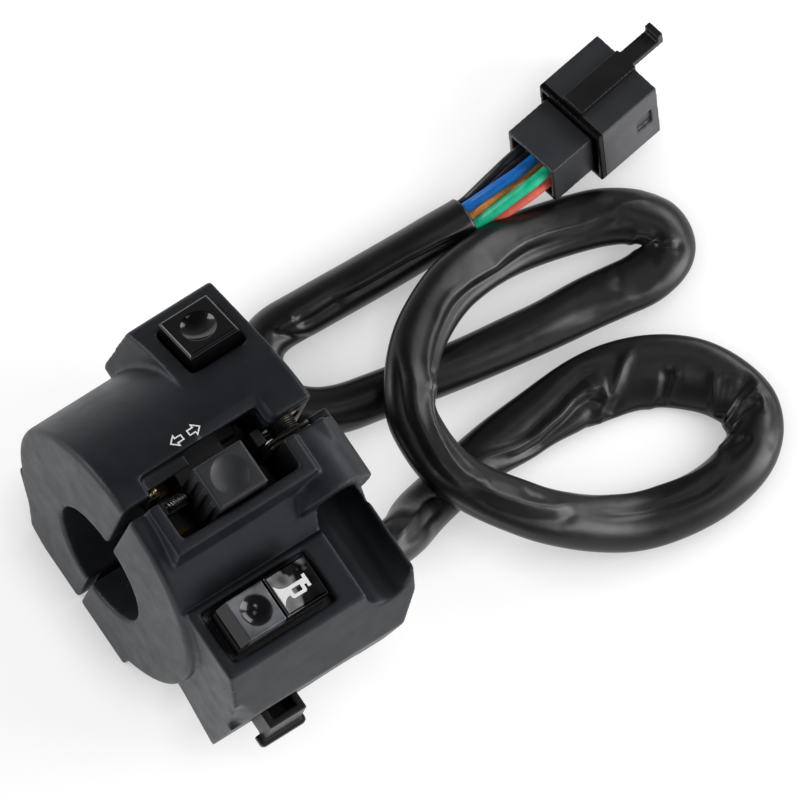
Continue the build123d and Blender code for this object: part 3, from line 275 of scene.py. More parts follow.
def tableMaterial():
    material = bpy.data.materials.new("paleFloor")
    material.use_nodes = True
    tree = material.node_tree
    tree.nodes.clear()
    paper = tree.nodes.new("ShaderNodeBsdfDiffuse")
    feed(tree, paper.inputs["Color"], tableLook["colour"])
    # the glow fades where something stands close by, so every piece keeps its soft contact shadow
    near = tree.nodes.new("ShaderNodeAmbientOcclusion")
    near.inputs["Distance"].default_value = tableLook["shadowReach"] * mm
    near.samples = tableLook["shadowSamples"]
    levels = tableLook["glowNear"], tableLook["glowOpen"], tableLook["openFrom"], tableLook["openTo"]
    glow = tree.nodes.new("ShaderNodeEmission")
    tree.links.new(spread(tree, near.outputs["AO"], *levels), glow.inputs["Strength"])
    path = tree.nodes.new("ShaderNodeLightPath").outputs
    seen = calculate(tree, "MAXIMUM", path["Is Camera Ray"], path["Is Glossy Ray"])
    mix = tree.nodes.new("ShaderNodeMixShader")
    out = tree.nodes.new("ShaderNodeOutputMaterial")
    tree.links.new(calculate(tree, "MULTIPLY", seen, tableLook["glowShare"]), mix.inputs[0])
    tree.links.new(paper.outputs[0], mix.inputs[1])
    tree.links.new(glow.outputs[0], mix.inputs[2])
    tree.links.new(mix.outputs[0], out.inputs[0])
    return material


def tableTop():
    bm = bmesh.new()
    bmesh.ops.create_grid(bm, x_segments=1, y_segments=1, size=tableLook["half"])
    bmesh.ops.translate(bm, verts=bm.verts, vec=(0, 0, floorZ))
    mesh = bpy.data.meshes.new("tableTop")
    bm.to_mesh(mesh)
    bm.free()
    piece = bpy.data.objects.new("tableTop", mesh)
    bpy.context.scene.collection.objects.link(piece)
    mesh.materials.append(tableMaterial())
    return piece


placeCamera()
lightRoom()
table = tableTop()
print("camera, light and floor placed")


# effects that several finishes share, each a node group built once
socketKinds = {
    "Place": "NodeSocketVector",
    "Dark": "NodeSocketColor",
    "Light": "NodeSocketColor",
    "Color": "NodeSocketColor",
    "Normal": "NodeSocketVector",
}


def startGroup(name, inputs, output):
    # an empty group: its tree, what it is given and the socket it puts out
    tree = bpy.data.node_groups.new(name, "ShaderNodeTree")
    for label in inputs:
        kind = socketKinds.get(label, "NodeSocketFloat")
        tree.interface.new_socket(name=label, in_out="INPUT", socket_type=kind)
    kind = socketKinds.get(output, "NodeSocketFloat")
    tree.interface.new_socket(name=output, in_out="OUTPUT", socket_type=kind)
    given = tree.nodes.new("NodeGroupInput").outputs
    return tree, given, tree.nodes.new("NodeGroupOutput").inputs[output]


def mottling():
    # two shades of one colour in soft clouds
    inputs = ("Place", "Scale", "Detail", "Softness", "Dark", "Light")
    tree, given, out = startGroup("mottling", inputs, "Color")
    clouds = noise(tree, given["Place"], given["Scale"], given["Detail"], given["Softness"])
    share = spread(tree, clouds, 0.0, 1.0)
    tree.links.new(blendColours(tree, share, given["Dark"], given["Light"]), out)
    return tree


def wear():
    # a surface rubbed smoother in some places than in others
    inputs = ("Place", "Scale", "Detail", "Softness", "Least", "Most")
    tree, given, out = startGroup("wear", inputs, "Roughness")
    clouds = noise(tree, given["Place"], given["Scale"], given["Detail"], given["Softness"])
    tree.links.new(spread(tree, clouds, given["Least"], given["Most"]), out)
    return tree


def grain():
    # one fine relief, for metal, gloss and wire
    inputs = ("Place", "Scale", "Detail", "Depth", "Strength")
    tree, given, out = startGroup("grain", inputs, "Normal")
    relief = noise(tree, given["Place"], given["Scale"], given["Detail"])
    tree.links.new(bump(tree, relief, given["Depth"], given["Strength"]), out)
    return tree


# a mould's grain: broad orange peel under fine spark marks, the peel's depth as a share of theirs
mouldRelief = {
    "peelScale": 900.0,
    "peelShare": 1.5,
    "peelStrength": 0.25,
    "markScale": 4200.0,
    "markStrength": 0.6,
    "detail": 2.0,
}


def mouldGrain():
    tree, given, out = startGroup("mouldGrain", ("Place", "Depth"), "Normal")
    peel = noise(tree, given["Place"], mouldRelief["peelScale"], mouldRelief["detail"])
    peelDepth = calculate(tree, "MULTIPLY", given["Depth"], mouldRelief["peelShare"])
    below = bump(tree, peel, peelDepth, mouldRelief["peelStrength"])
    marks = noise(tree, given["Place"], mouldRelief["markScale"], mouldRelief["detail"])
    tree.links.new(bump(tree, marks, given["Depth"], mouldRelief["markStrength"], below), out)
    return tree


effects = {"mottling": mottling(), "wear": wear(), "grain": grain(), "mouldGrain": mouldGrain()}


def effect(tree, name, target, **values):
    # places a shared effect in a material with that material's own values
    node = tree.nodes.new("ShaderNodeGroup")
    node.node_tree = effects[name]
    tree.links.new(placeOf(tree), node.inputs["Place"])
    for label, value in values.items():
        feed(tree, node.inputs[label.capitalize()], value)
    tree.links.new(node.outputs[0], skinOf(tree)[target])
    return node.outputs[0]


def startMaterial(name):
    material = bpy.data.materials.new(name)
    material.use_nodes = True
    material.node_tree.nodes.new("ShaderNodeTexCoord")
    return material, material.node_tree


def placeOf(tree):
    return tree.nodes["Texture Coordinate"].outputs["Object"]


def skinOf(tree):
    return tree.nodes["Principled BSDF"].inputs


# dust specks, each in a cell of its own, and the smudges on a glossy piece
specks = {"scale": 210.0, "core": 0.02, "edge": 0.035, "colour": (0.35, 0.35, 0.36)}
smudges = {"scale": 240.0, "detail": 5.0, "softness": 0.65}


def settleDust(tree, colour, amount):
    cells = tree.nodes.new("ShaderNodeTexVoronoi")
    cells.inputs["Scale"].default_value = specks["scale"]
    tree.links.new(placeOf(tree), cells.inputs["Vector"])
    share = spread(tree, cells.outputs["Distance"], amount, 0.0, specks["core"], specks["edge"])
    tree.links.new(blendColours(tree, share, colour, specks["colour"]), skinOf(tree)["Base Color"])


def moulded(name, dark, light, rough, depth=0.03, dust=0.0, specular=0.5, tint=None):
    # depth is the grain's in millimetres and dust the specks' strength
    material, tree = startMaterial(name)
    clouds = {"scale": 70.0, "detail": 4.0, "softness": 0.5}
    colour = effect(tree, "mottling", "Base Color", **clouds, dark=dark, light=light)
    if dust:
        settleDust(tree, colour, dust)
    rubbed = {"scale": 260.0, "detail": 5.0, "softness": 0.6}
    effect(tree, "wear", "Roughness", **rubbed, least=rough - 0.05, most=rough + 0.07)
    skinOf(tree)["Specular IOR Level"].default_value = specular
    if tint:
        skinOf(tree)["Specular Tint"].default_value = (*tint, 1)
    if depth:
        effect(tree, "mouldGrain", "Normal", depth=depth * mm)
    return material


# the painted shade of the moat round the plug, a recess the mesh lacks: its colour, the share of its width
# that is fully dark, its gloss and the plain plastic's, and its depth in millimetres
paintedMoatShade = {"colour": (0.002, 0.002, 0.002), "core": 0.8, "gloss": 0.12, "plainGloss": 0.5, "depth": 0.4}


def plugNylon(name, dark, light, rough, moat, moatWidth):
    # the plug's plastic with painted shade in a dark band where the moat lies, so far along its length and
    # so wide
    material = moulded(name, dark, light, rough, depth=None)
    tree = material.node_tree
    skin = skinOf(tree)
    along = reachAlong(tree, placeOf(tree), tuple(plugX))
    off = calculate(tree, "ABSOLUTE", calculate(tree, "SUBTRACT", along, plugOrigin.dot(plugX) * mm + moat))
    half = moatWidth / 2
    # painted shade: the band over the moat's place, fully dark in its core
    moatShadeMask = spread(tree, off, 1.0, 0.0, half * paintedMoatShade["core"], half)
    plain = skin["Base Color"].links[0].from_socket
    tree.links.new(blendColours(tree, moatShadeMask, plain, paintedMoatShade["colour"]), skin["Base Color"])
    gloss = spread(tree, moatShadeMask, paintedMoatShade["plainGloss"], paintedMoatShade["gloss"], 0.0, 1.0)
    tree.links.new(gloss, skin["Specular IOR Level"])
    ground = spread(tree, moatShadeMask, 1.0, 0.0, 0.0, 1.0)
    relief = bump(tree, ground, distance=paintedMoatShade["depth"] * mm, strength=0.8)
    tree.links.new(relief, skin["Normal"])
    return material


def startGloss(name, rough, ripple, rippleScale):
    # a glossy piece without its colour yet; ripple is the surface's waviness in millimetres
    material, tree = startMaterial(name)
    effect(tree, "wear", "Roughness", **smudges, least=rough, most=rough + 0.08)
    effect(tree, "grain", "Normal", scale=rippleScale, detail=2.0, depth=ripple * mm, strength=0.5)
    return material, tree


def polished(name, dark, light, rough):
    material, tree = startGloss(name, rough, ripple=0.04, rippleScale=160.0)
    effect(tree, "mottling", "Base Color", **smudges, dark=dark, light=light)
    return material


# the clouds in the tile's painted reflection: scale and strength, and where its painted bright turns to
# dark
paintedReflectionClouds = {"scale": 330.0, "strength": 0.45, "brightTo": 0.35, "darkFrom": 0.6}


def paintedReflectionTile(name, leftX, rightX, paintedReflection, dark, rough):
    # a polished metal tile with a painted reflection: its colour painted bright to its left and black to
    # its right
    material, tree = startGloss(name, rough, ripple=0.3, rippleScale=120.0)
    skinOf(tree)["Metallic"].default_value = 1.0
    across = spread(tree, splitPlace(tree, placeOf(tree))["X"], 0.0, 1.0, leftX, rightX)
    cloud = noise(tree, placeOf(tree), scale=paintedReflectionClouds["scale"], detail=2.0)
    stir = spread(tree, cloud, -paintedReflectionClouds["strength"], paintedReflectionClouds["strength"])
    stirred = calculate(tree, "ADD", across, stir)
    mask = spread(tree, stirred, 0.0, 1.0, paintedReflectionClouds["brightTo"], paintedReflectionClouds["darkFrom"])
    tree.links.new(blendColours(tree, mask, paintedReflection, dark), skinOf(tree)["Base Color"])
    return material


# how soft the dish's rim is, as a share of its radius, and the slope's edge, in millimetres
padEdges = {"rim": 0.06, "before": 0.1, "after": 0.2}


def dishedPad(name, middle, dishR, edgeX, paintedReflection, light, dark, rough):
    # a glossy black cap whose flat carries a painted reflection, pale in two clouded tones round the black
    # dish; its sloping left side stays black
    material, tree = startGloss(name, rough, ripple=0.04, rippleScale=160.0)
    parts = splitPlace(tree, placeOf(tree))
    squares = []
    for part, centre in zip((parts["X"], parts["Y"]), middle):
        off = calculate(tree, "SUBTRACT", part, centre)
        squares.append(calculate(tree, "MULTIPLY", off, off))
    reach = calculate(tree, "ADD", *squares)
    inner = dishR * (1 - padEdges["rim"])
    outer = dishR * (1 + padEdges["rim"])
    outside = spread(tree, reach, 0.0, 1.0, inner**2, outer**2)
    before = edgeX - padEdges["before"] * mm
    flat = spread(tree, parts["X"], 0.0, 1.0, before, edgeX + padEdges["after"] * mm)
    cloud = spread(tree, noise(tree, placeOf(tree), scale=260.0, detail=2.0), 0.0, 1.0)
    mask = calculate(tree, "MULTIPLY", outside, flat)
    # painted reflection: the two pale tones on the flat outside the dish
    colour = blendColours(tree, mask, dark, blendColours(tree, cloud, paintedReflection, light))
    tree.links.new(colour, skinOf(tree)["Base Color"])
    return material


def metal(name, dark, light, rough, threadPitch=None):
    # tarnished metal with fine scratches, or with a thread's ridges along Y, pitch in millimetres
    material, tree = startMaterial(name)
    tarnish = {"scale": 500.0, "detail": 5.0, "softness": 0.6}
    effect(tree, "mottling", "Base Color", **tarnish, dark=dark, light=light)
    effect(tree, "wear", "Roughness", **tarnish, least=rough, most=rough + 0.16)
    skinOf(tree)["Metallic"].default_value = 1.0
    if threadPitch:
        ridges = tree.nodes.new("ShaderNodeTexWave")
        ridges.bands_direction = "Y"
        wavesInMetre = 20 / (2 * math.pi)  # for a scale of 1
        ridges.inputs["Scale"].default_value = 1 / (wavesInMetre * threadPitch * mm)
        tree.links.new(placeOf(tree), ridges.inputs["Vector"])
        relief = bump(tree, ridges.outputs["Fac"], distance=0.3 * mm, strength=1.0)
        tree.links.new(relief, skinOf(tree)["Normal"])
    else:
        effect(tree, "grain", "Normal", scale=2400.0, detail=3.0, depth=0.02 * mm, strength=0.5)
    return material


def vinyl(name, dark, light):
    # a soft satin tube: broad clouds, drawn lines along its length and small dents
    material, tree = startMaterial(name)
    clouds = {"scale": 90.0, "detail": 4.0, "softness": 0.55}
    effect(tree, "mottling", "Base Color", **clouds, dark=dark, light=light)
    smears = {"scale": 350.0, "detail": 4.0, "softness": 0.6}
    effect(tree, "wear", "Roughness", **smears, least=0.3, most=0.38)
    skinOf(tree)["Specular IOR Level"].default_value = 0.55
    mapping = tree.nodes.new("ShaderNodeMapping")
    mapping.inputs["Scale"].default_value = (26.0, 46.0, 1.0)  # round the tube, along it
    tree.links.new(tree.nodes["Texture Coordinate"].outputs["UV"], mapping.inputs["Vector"])
    drawn = noise(tree, mapping.outputs[0], scale=1.0, detail=3.0, softness=0.6)
    lines = bump(tree, drawn, distance=0.06 * mm, strength=0.3)
    dents = noise(tree, placeOf(tree), scale=120.0, detail=2.0)
    dented = bump(tree, dents, distance=0.5 * mm, strength=0.14, below=lines)
    tree.links.new(dented, skinOf(tree)["Normal"])
    return material


def wireCover(name, dark, light):
    material, tree = startMaterial(name)
    clouds = {"scale": 700.0, "detail": 3.0, "softness": 0.5}
    effect(tree, "mottling", "Base Color", **clouds, dark=dark, light=light)
    effect(tree, "wear", "Roughness", **clouds, least=0.28, most=0.42)
    effect(tree, "grain", "Normal", scale=1500.0, detail=2.0, depth=0.05 * mm, strength=0.4)
    return material


finishes = {
    "housing": moulded(
        "housingNylon",
        dark=(0.0064, 0.0068, 0.0088),
        light=(0.011, 0.0117, 0.0142),
        rough=0.44,
        dust=0.1,
        specular=0.42,
        tint=(0.86, 0.92, 1.0),
    ),
    "button": polished(
        "polishedBlack", dark=(0.002, 0.002, 0.0024), light=(0.0042, 0.0042, 0.005), rough=0.06
    ),
    # the pad: black, with a painted reflection pale on its flat
    "pad": dishedPad(
        "padGloss",
        middle=(-9.9 * mm, -24.6 * mm),
        dishR=2.8 * mm,
        edgeX=-13.6 * mm,
        paintedReflection=(0.05, 0.053, 0.06),
        light=(0.17, 0.175, 0.19),
        dark=(0.006, 0.006, 0.007),
        rough=0.09,
    ),
    "trigger": moulded(
        "triggerNylon", dark=(0.005, 0.005, 0.005), light=(0.009, 0.0088, 0.0085), rough=0.4, specular=0.45
    ),
    "knob": moulded(
        "knobNylon", dark=(0.012, 0.0125, 0.015), light=(0.019, 0.02, 0.023), rough=0.48, depth=0.015
    ),
    "carriage": moulded("slideNylon", dark=(0.016, 0.017, 0.019), light=(0.026, 0.027, 0.03), rough=0.4),
    "base": moulded("baseNylon", dark=(0.012, 0.0125, 0.0135), light=(0.02, 0.021, 0.0225), rough=0.45),
    # the tile, its colour a painted reflection
    "tile": paintedReflectionTile(
        "paintedReflectionTile",
        leftX=-5.9 * mm,
        rightX=2.4 * mm,
        paintedReflection=(0.15, 0.148, 0.144),
        dark=(0.008, 0.008, 0.008),
        rough=0.07,
    ),
    "brass": metal("turnedBrass", dark=(0.9, 0.66, 0.28), light=(1.0, 0.84, 0.5), rough=0.28),
    "steel": metal("platedSteel", dark=(0.46, 0.46, 0.47), light=(0.66, 0.66, 0.67), rough=0.24),
    "screw": metal(
        "blackedScrew", dark=(0.05, 0.05, 0.05), light=(0.12, 0.12, 0.115), rough=0.3, threadPitch=0.8
    ),
    "spring": metal("springWire", dark=(0.9, 0.9, 0.91), light=(0.98, 0.98, 0.99), rough=0.26),
    "copper": metal("contactStrip", dark=(0.1, 0.055, 0.03), light=(0.2, 0.11, 0.06), rough=0.4),
    "switchBody": moulded(
        "switchNylon", dark=(0.01, 0.01, 0.011), light=(0.017, 0.017, 0.018), rough=0.45
    ),
    "grommet": moulded("softRubber", dark=(0.012, 0.012, 0.012), light=(0.018, 0.018, 0.018), rough=0.6),
    # the plug, with painted shade in its moat
    "connector": plugNylon(
        "plugNylon",
        dark=(0.025, 0.0257, 0.029),
        light=(0.039, 0.0403, 0.045),
        rough=0.36,
        moat=9.5 * mm,
        moatWidth=1.3 * mm,
    ),
    "latch": moulded(
        "latchNylon", dark=(0.006, 0.006, 0.0064), light=(0.0112, 0.011, 0.011), rough=0.38, specular=0.4
    ),
    "paint": moulded(
        "whitePaint", dark=(0.88, 0.88, 0.88), light=(0.95, 0.95, 0.95), rough=0.4, depth=0.01
    ),
    "thinWire": wireCover("thinCover", dark=(0.014, 0.012, 0.008), light=(0.035, 0.03, 0.02)),
}
print("finishes made")

# the CAD nodes as they come: their finish, and for a moulding the cell size in millimetres and the
# number of passes that round its edges
carried = {
    "upper_housing": {"finish": "housing", "cell": 0.36, "passes": 5},
    "lower_housing": {"finish": "housing", "cell": 0.36, "passes": 5},
    "clamp_screws": {"finish": "screw"},
    "threaded_inserts": {"finish": "brass"},
    "turn_base": {"finish": "base", "cell": 0.18, "passes": 3},
    "turn_contacts": {"finish": "copper"},
    "turn_base_screws": {"finish": "steel"},
    "turn_carriage": {"finish": "carriage"},
    "turn_slide_plate": {"finish": "carriage", "cell": 0.14, "passes": 3},
    "turn_side_spring": {"finish": "spring"},
    "turn_detent_ball": {"finish": "steel"},
    "turn_detent_spring": {"finish": "spring"},
    "turn_rivet": {"finish": "brass"},
    "turn_knob": {"finish": "knob", "cell": 0.11, "passes": 5},
    "dimmer_cap": {"finish": "button", "cell": 0.1, "passes": 4},
    "dimmer_switch_body": {"finish": "switchBody"},
    "dimmer_spring": {"finish": "spring"},
    "dimmer_terminals": {"finish": "brass"},
    "horn_carrier": {"finish": "carriage"},
    "horn_pad": {"finish": "pad", "cell": 0.1, "passes": 3},
    "horn_symbol_tile": {"finish": "tile", "cell": 0.1, "passes": 3},
    "horn_base": {"finish": "base"},
    "horn_spring": {"finish": "spring"},
    "horn_contacts": {"finish": "copper"},
    "pass_trigger": {"finish": "trigger", "cell": 0.16, "passes": 4},
    "pass_pivot_pin": {"finish": "steel"},
    "pass_spring": {"finish": "spring"},
    "pass_switch_body": {"finish": "switchBody"},
    "harness_grommet": {"finish": "grommet", "cell": 0.2, "passes": 3},
    "connector_housing": {"finish": "connector", "cell": 0.2, "passes": 3},
    "connector_latch": {"finish": "latch", "cell": 0.14, "passes": 3},
    "connector_terminals": {"finish": "brass"},
}
weldWithin = 0.002 * mm
relaxShare = 0.5


def soften(piece, cell, passes):
    # rounds a moulding's edges the way a mould does
    weld = piece.modifiers.new("weld", "WELD")
    weld.merge_threshold = weldWithin
    cells = piece.modifiers.new("cells", "REMESH")
    cells.mode = "VOXEL"
    cells.voxel_size = cell * mm
    cells.use_smooth_shade = True
    relax = piece.modifiers.new("relax", "SMOOTH")
    relax.factor = relaxShare
    relax.iterations = passes


for name, look in carried.items():
    piece = nodes[name]
    piece.data.materials.clear()
    piece.data.materials.append(finishes[look["finish"]])
    if "cell" in look:
        soften(piece, look["cell"], look["passes"])
print("carried pieces finished")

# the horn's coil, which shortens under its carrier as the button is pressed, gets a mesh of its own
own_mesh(nodes["horn_spring"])

# the harness sleeve. Each station is x, y and z of its route in millimetres, then the section
# there: half width, half height, roll about the line in degrees, and how far it stands to the right
sleeveStations = [
    (20.0, -23.5, -4.6, 4.0, 4.0, 0, 0),
    (27.0, -23.5, -4.6, 4.2, 3.8, 0, -0.7),
    (35.0, -20.8, -14.4, 4.6, 3.3, 10, -1.3),
    (46.5, -17.2, -17.95, 4.5, 3.3, 14, -0.7),
    (60.0, -15.4, -17.95, 5.1, 2.7, -4, 0.1),
    (77.0, -15.2, -17.95, 6.2, 2.2, -14, 0.6),
    (89.5, -20.6, -17.95, 6.2, 2.3, -14, 0.8),
    (96.0, -31.5, -17.95, 5.5, 2.9, -10, 0.7),
    (92.0, -40.8, -17.95, 4.8, 3.5, 0, 0.7),
    (78.0, -43.2, -17.95, 4.8, 3.3, 2, 0.5),
    (62.5, -39.2, -16.5, 4.9, 3.1, 0, 0.3),
    (50.8, -29.2, -12.0, 4.9, 3.1, -6, -0.7),
    (43.3, -17.8, -9.3, 4.8, 3.2, -14, -1.4),
    (41.8, -7.5, -9.3, 4.7, 3.3, -16, -0.8),
    (45.3, 0.5, -9.3, 4.7, 3.2, -16, -0.1),
    (53.5, 7.2, -11.5, 4.8, 3.1, -16, -0.2),
    (64.0, 10.6, -14.0, 4.9, 3.0, -14, -0.7),
    (76.0, 10.8, -16.4, 5.0, 3.0, -12, -1.0),
    (90.0, 7.6, -17.95, 5.0, 2.9, -4, -1.0),
    (98.3, 3.6, -17.95, 4.9, 2.9, 10, -0.5),
    (100.0, -2.4, -17.95, 4.6, 3.1, 4, 0.1),
    (94.0, -6.4, -17.95, 4.8, 2.8, -6, 0.9),
    (84.0, -4.6, -17.95, 4.7, 3.1, -6, 0.7),
    (70.0, -3.1, -17.95, 4.3, 3.7, 0, 0.3),
    (55.0, -0.7, -17.95, 4.1, 3.9, 0, 0),
    (43.0, 1.7, -17.95, 4.1, 3.9, 0, 0),
    (33.0, 3.6, -17.95, 4.2, 3.8, 0, 0),
    (26.5, 8.6, -17.95, 4.4, 3.6, 0, 0),
    (26.0, 15.6, -17.95, 4.5, 3.5, 0, -0.2),
    (31.0, 20.4, -17.95, 4.1, 3.7, 8, -0.5),
    (40.0, 20.2, -17.95, 4.1, 3.9, 0, -0.3),
    (52.0, 19.6, -17.95, 4.1, 3.9, 0, -0.3),
    (64.0, 19.4, -17.95, 4.05, 3.95, 0, -0.2),
    (71.5, 19.4, -17.95, 4.05, 3.95, 0, 0),
]
sleeveRoute = [station[:3] for station in sleeveStations]
sections = [station[3:] for station in sleeveStations]
# lengths in millimetres, and counts of rings or of points round one
sleeveForm = {
    "smoothness": 16,
    "ringStep": 0.42,
    "around": 90,
    "skinR": 4.3,  # turns a fold's degrees into a width on the skin
    "foldReach": 2.6,  # in half widths of the fold
    "foldEnd": 0.25,  # what is left of a fold's height at its ends
    "foldEndFade": 5,
    "foldRound": 1.5,
    "lyingBelow": -15.0,
    "liftOver": 2.5,
    "tableGap": 0.06,
    "leastGap": 0.03,
    "easePasses": 3,
    "easeRings": 9,
    "lip": ((-0.12, 0.96), (-0.02, 0.9), (0.5, 0.87), (2.0, 0.86), (9.0, 0.86)),  # depth, share
    "patternLength": 100,
}


def smoothRoute(name, points, resolution):
    # the evaluated line of an open spline with these control points, in metres
    data = bpy.data.curves.new(name, "CURVE")
    data.dimensions = "3D"
    data.resolution_u = resolution
    spline = data.splines.new("NURBS")
    spline.points.add(len(points) - 1)
    for control, point in zip(spline.points, points):
        control.co = (*[c * mm for c in point], 1)
    spline.order_u = 3
    spline.use_endpoint_u = True
    mesh = meshOfCurve(name, data)
    line = [v.co.copy() for v in mesh.vertices]
    bpy.data.meshes.remove(mesh)
    return line


def meshOfCurve(name, data):
    # a curve made a mesh, and the curve itself taken away
    holder = bpy.data.objects.new(name, data)
    bpy.context.scene.collection.objects.link(holder)
    bpy.context.view_layer.update()
    graph = bpy.context.evaluated_depsgraph_get()
    mesh = bpy.data.meshes.new_from_object(holder.evaluated_get(graph))
    bpy.data.objects.remove(holder)
    bpy.data.curves.remove(data)
    return mesh


def evenly(line, step):
    # the same line at an even step along its length
    total = sum((b - a).length for a, b in zip(line, line[1:]))
    count = max(2, round(total / step))
    even = [line[0].copy()]
    walked = 0.0
    target = total / count
    for a, b in zip(line, line[1:]):
        run = (b - a).length
        while run > 0 and walked + run >= target * len(even) and len(even) < count:
            share = (target * len(even) - walked) / run
            even.append(a.lerp(b, share))
        walked += run
    even.append(line[-1].copy())
    return even, total


sleeveSpline = smoothRoute("sleeveRoute", sleeveRoute, sleeveForm["smoothness"])
sleeveLine, sleeveLength = evenly(sleeveSpline, sleeveForm["ringStep"] * mm)
sleeveStep = sleeveLength / (len(sleeveLine) - 1) / mm
print("sleeve line", round(sleeveLength / mm, 1), "mm", len(sleeveLine), "points")


def stationOf(point):
    # how far along the sleeve a route point lies, in millimetres
    spot = Vector(point) * mm
    nearest = min(range(len(sleeveLine)), key=lambda i: (sleeveLine[i] - spot).length)
    return nearest * sleeveStep


stations = [stationOf(point) for point in sleeveRoute]


def between(along):
    # the section at a place along the sleeve, eased from one station to the next
    for i in range(len(stations) - 1):
        if along <= stations[i + 1] or i == len(stations) - 2:
            low, high = stations[i], stations[i + 1]
            share = min(1.0, max(0.0, (along - low) / max(high - low, 1e-6)))
            share = share * share * (3 - 2 * share)
            return [a + (b - a) * share for a, b in zip(sections[i], sections[i + 1])]


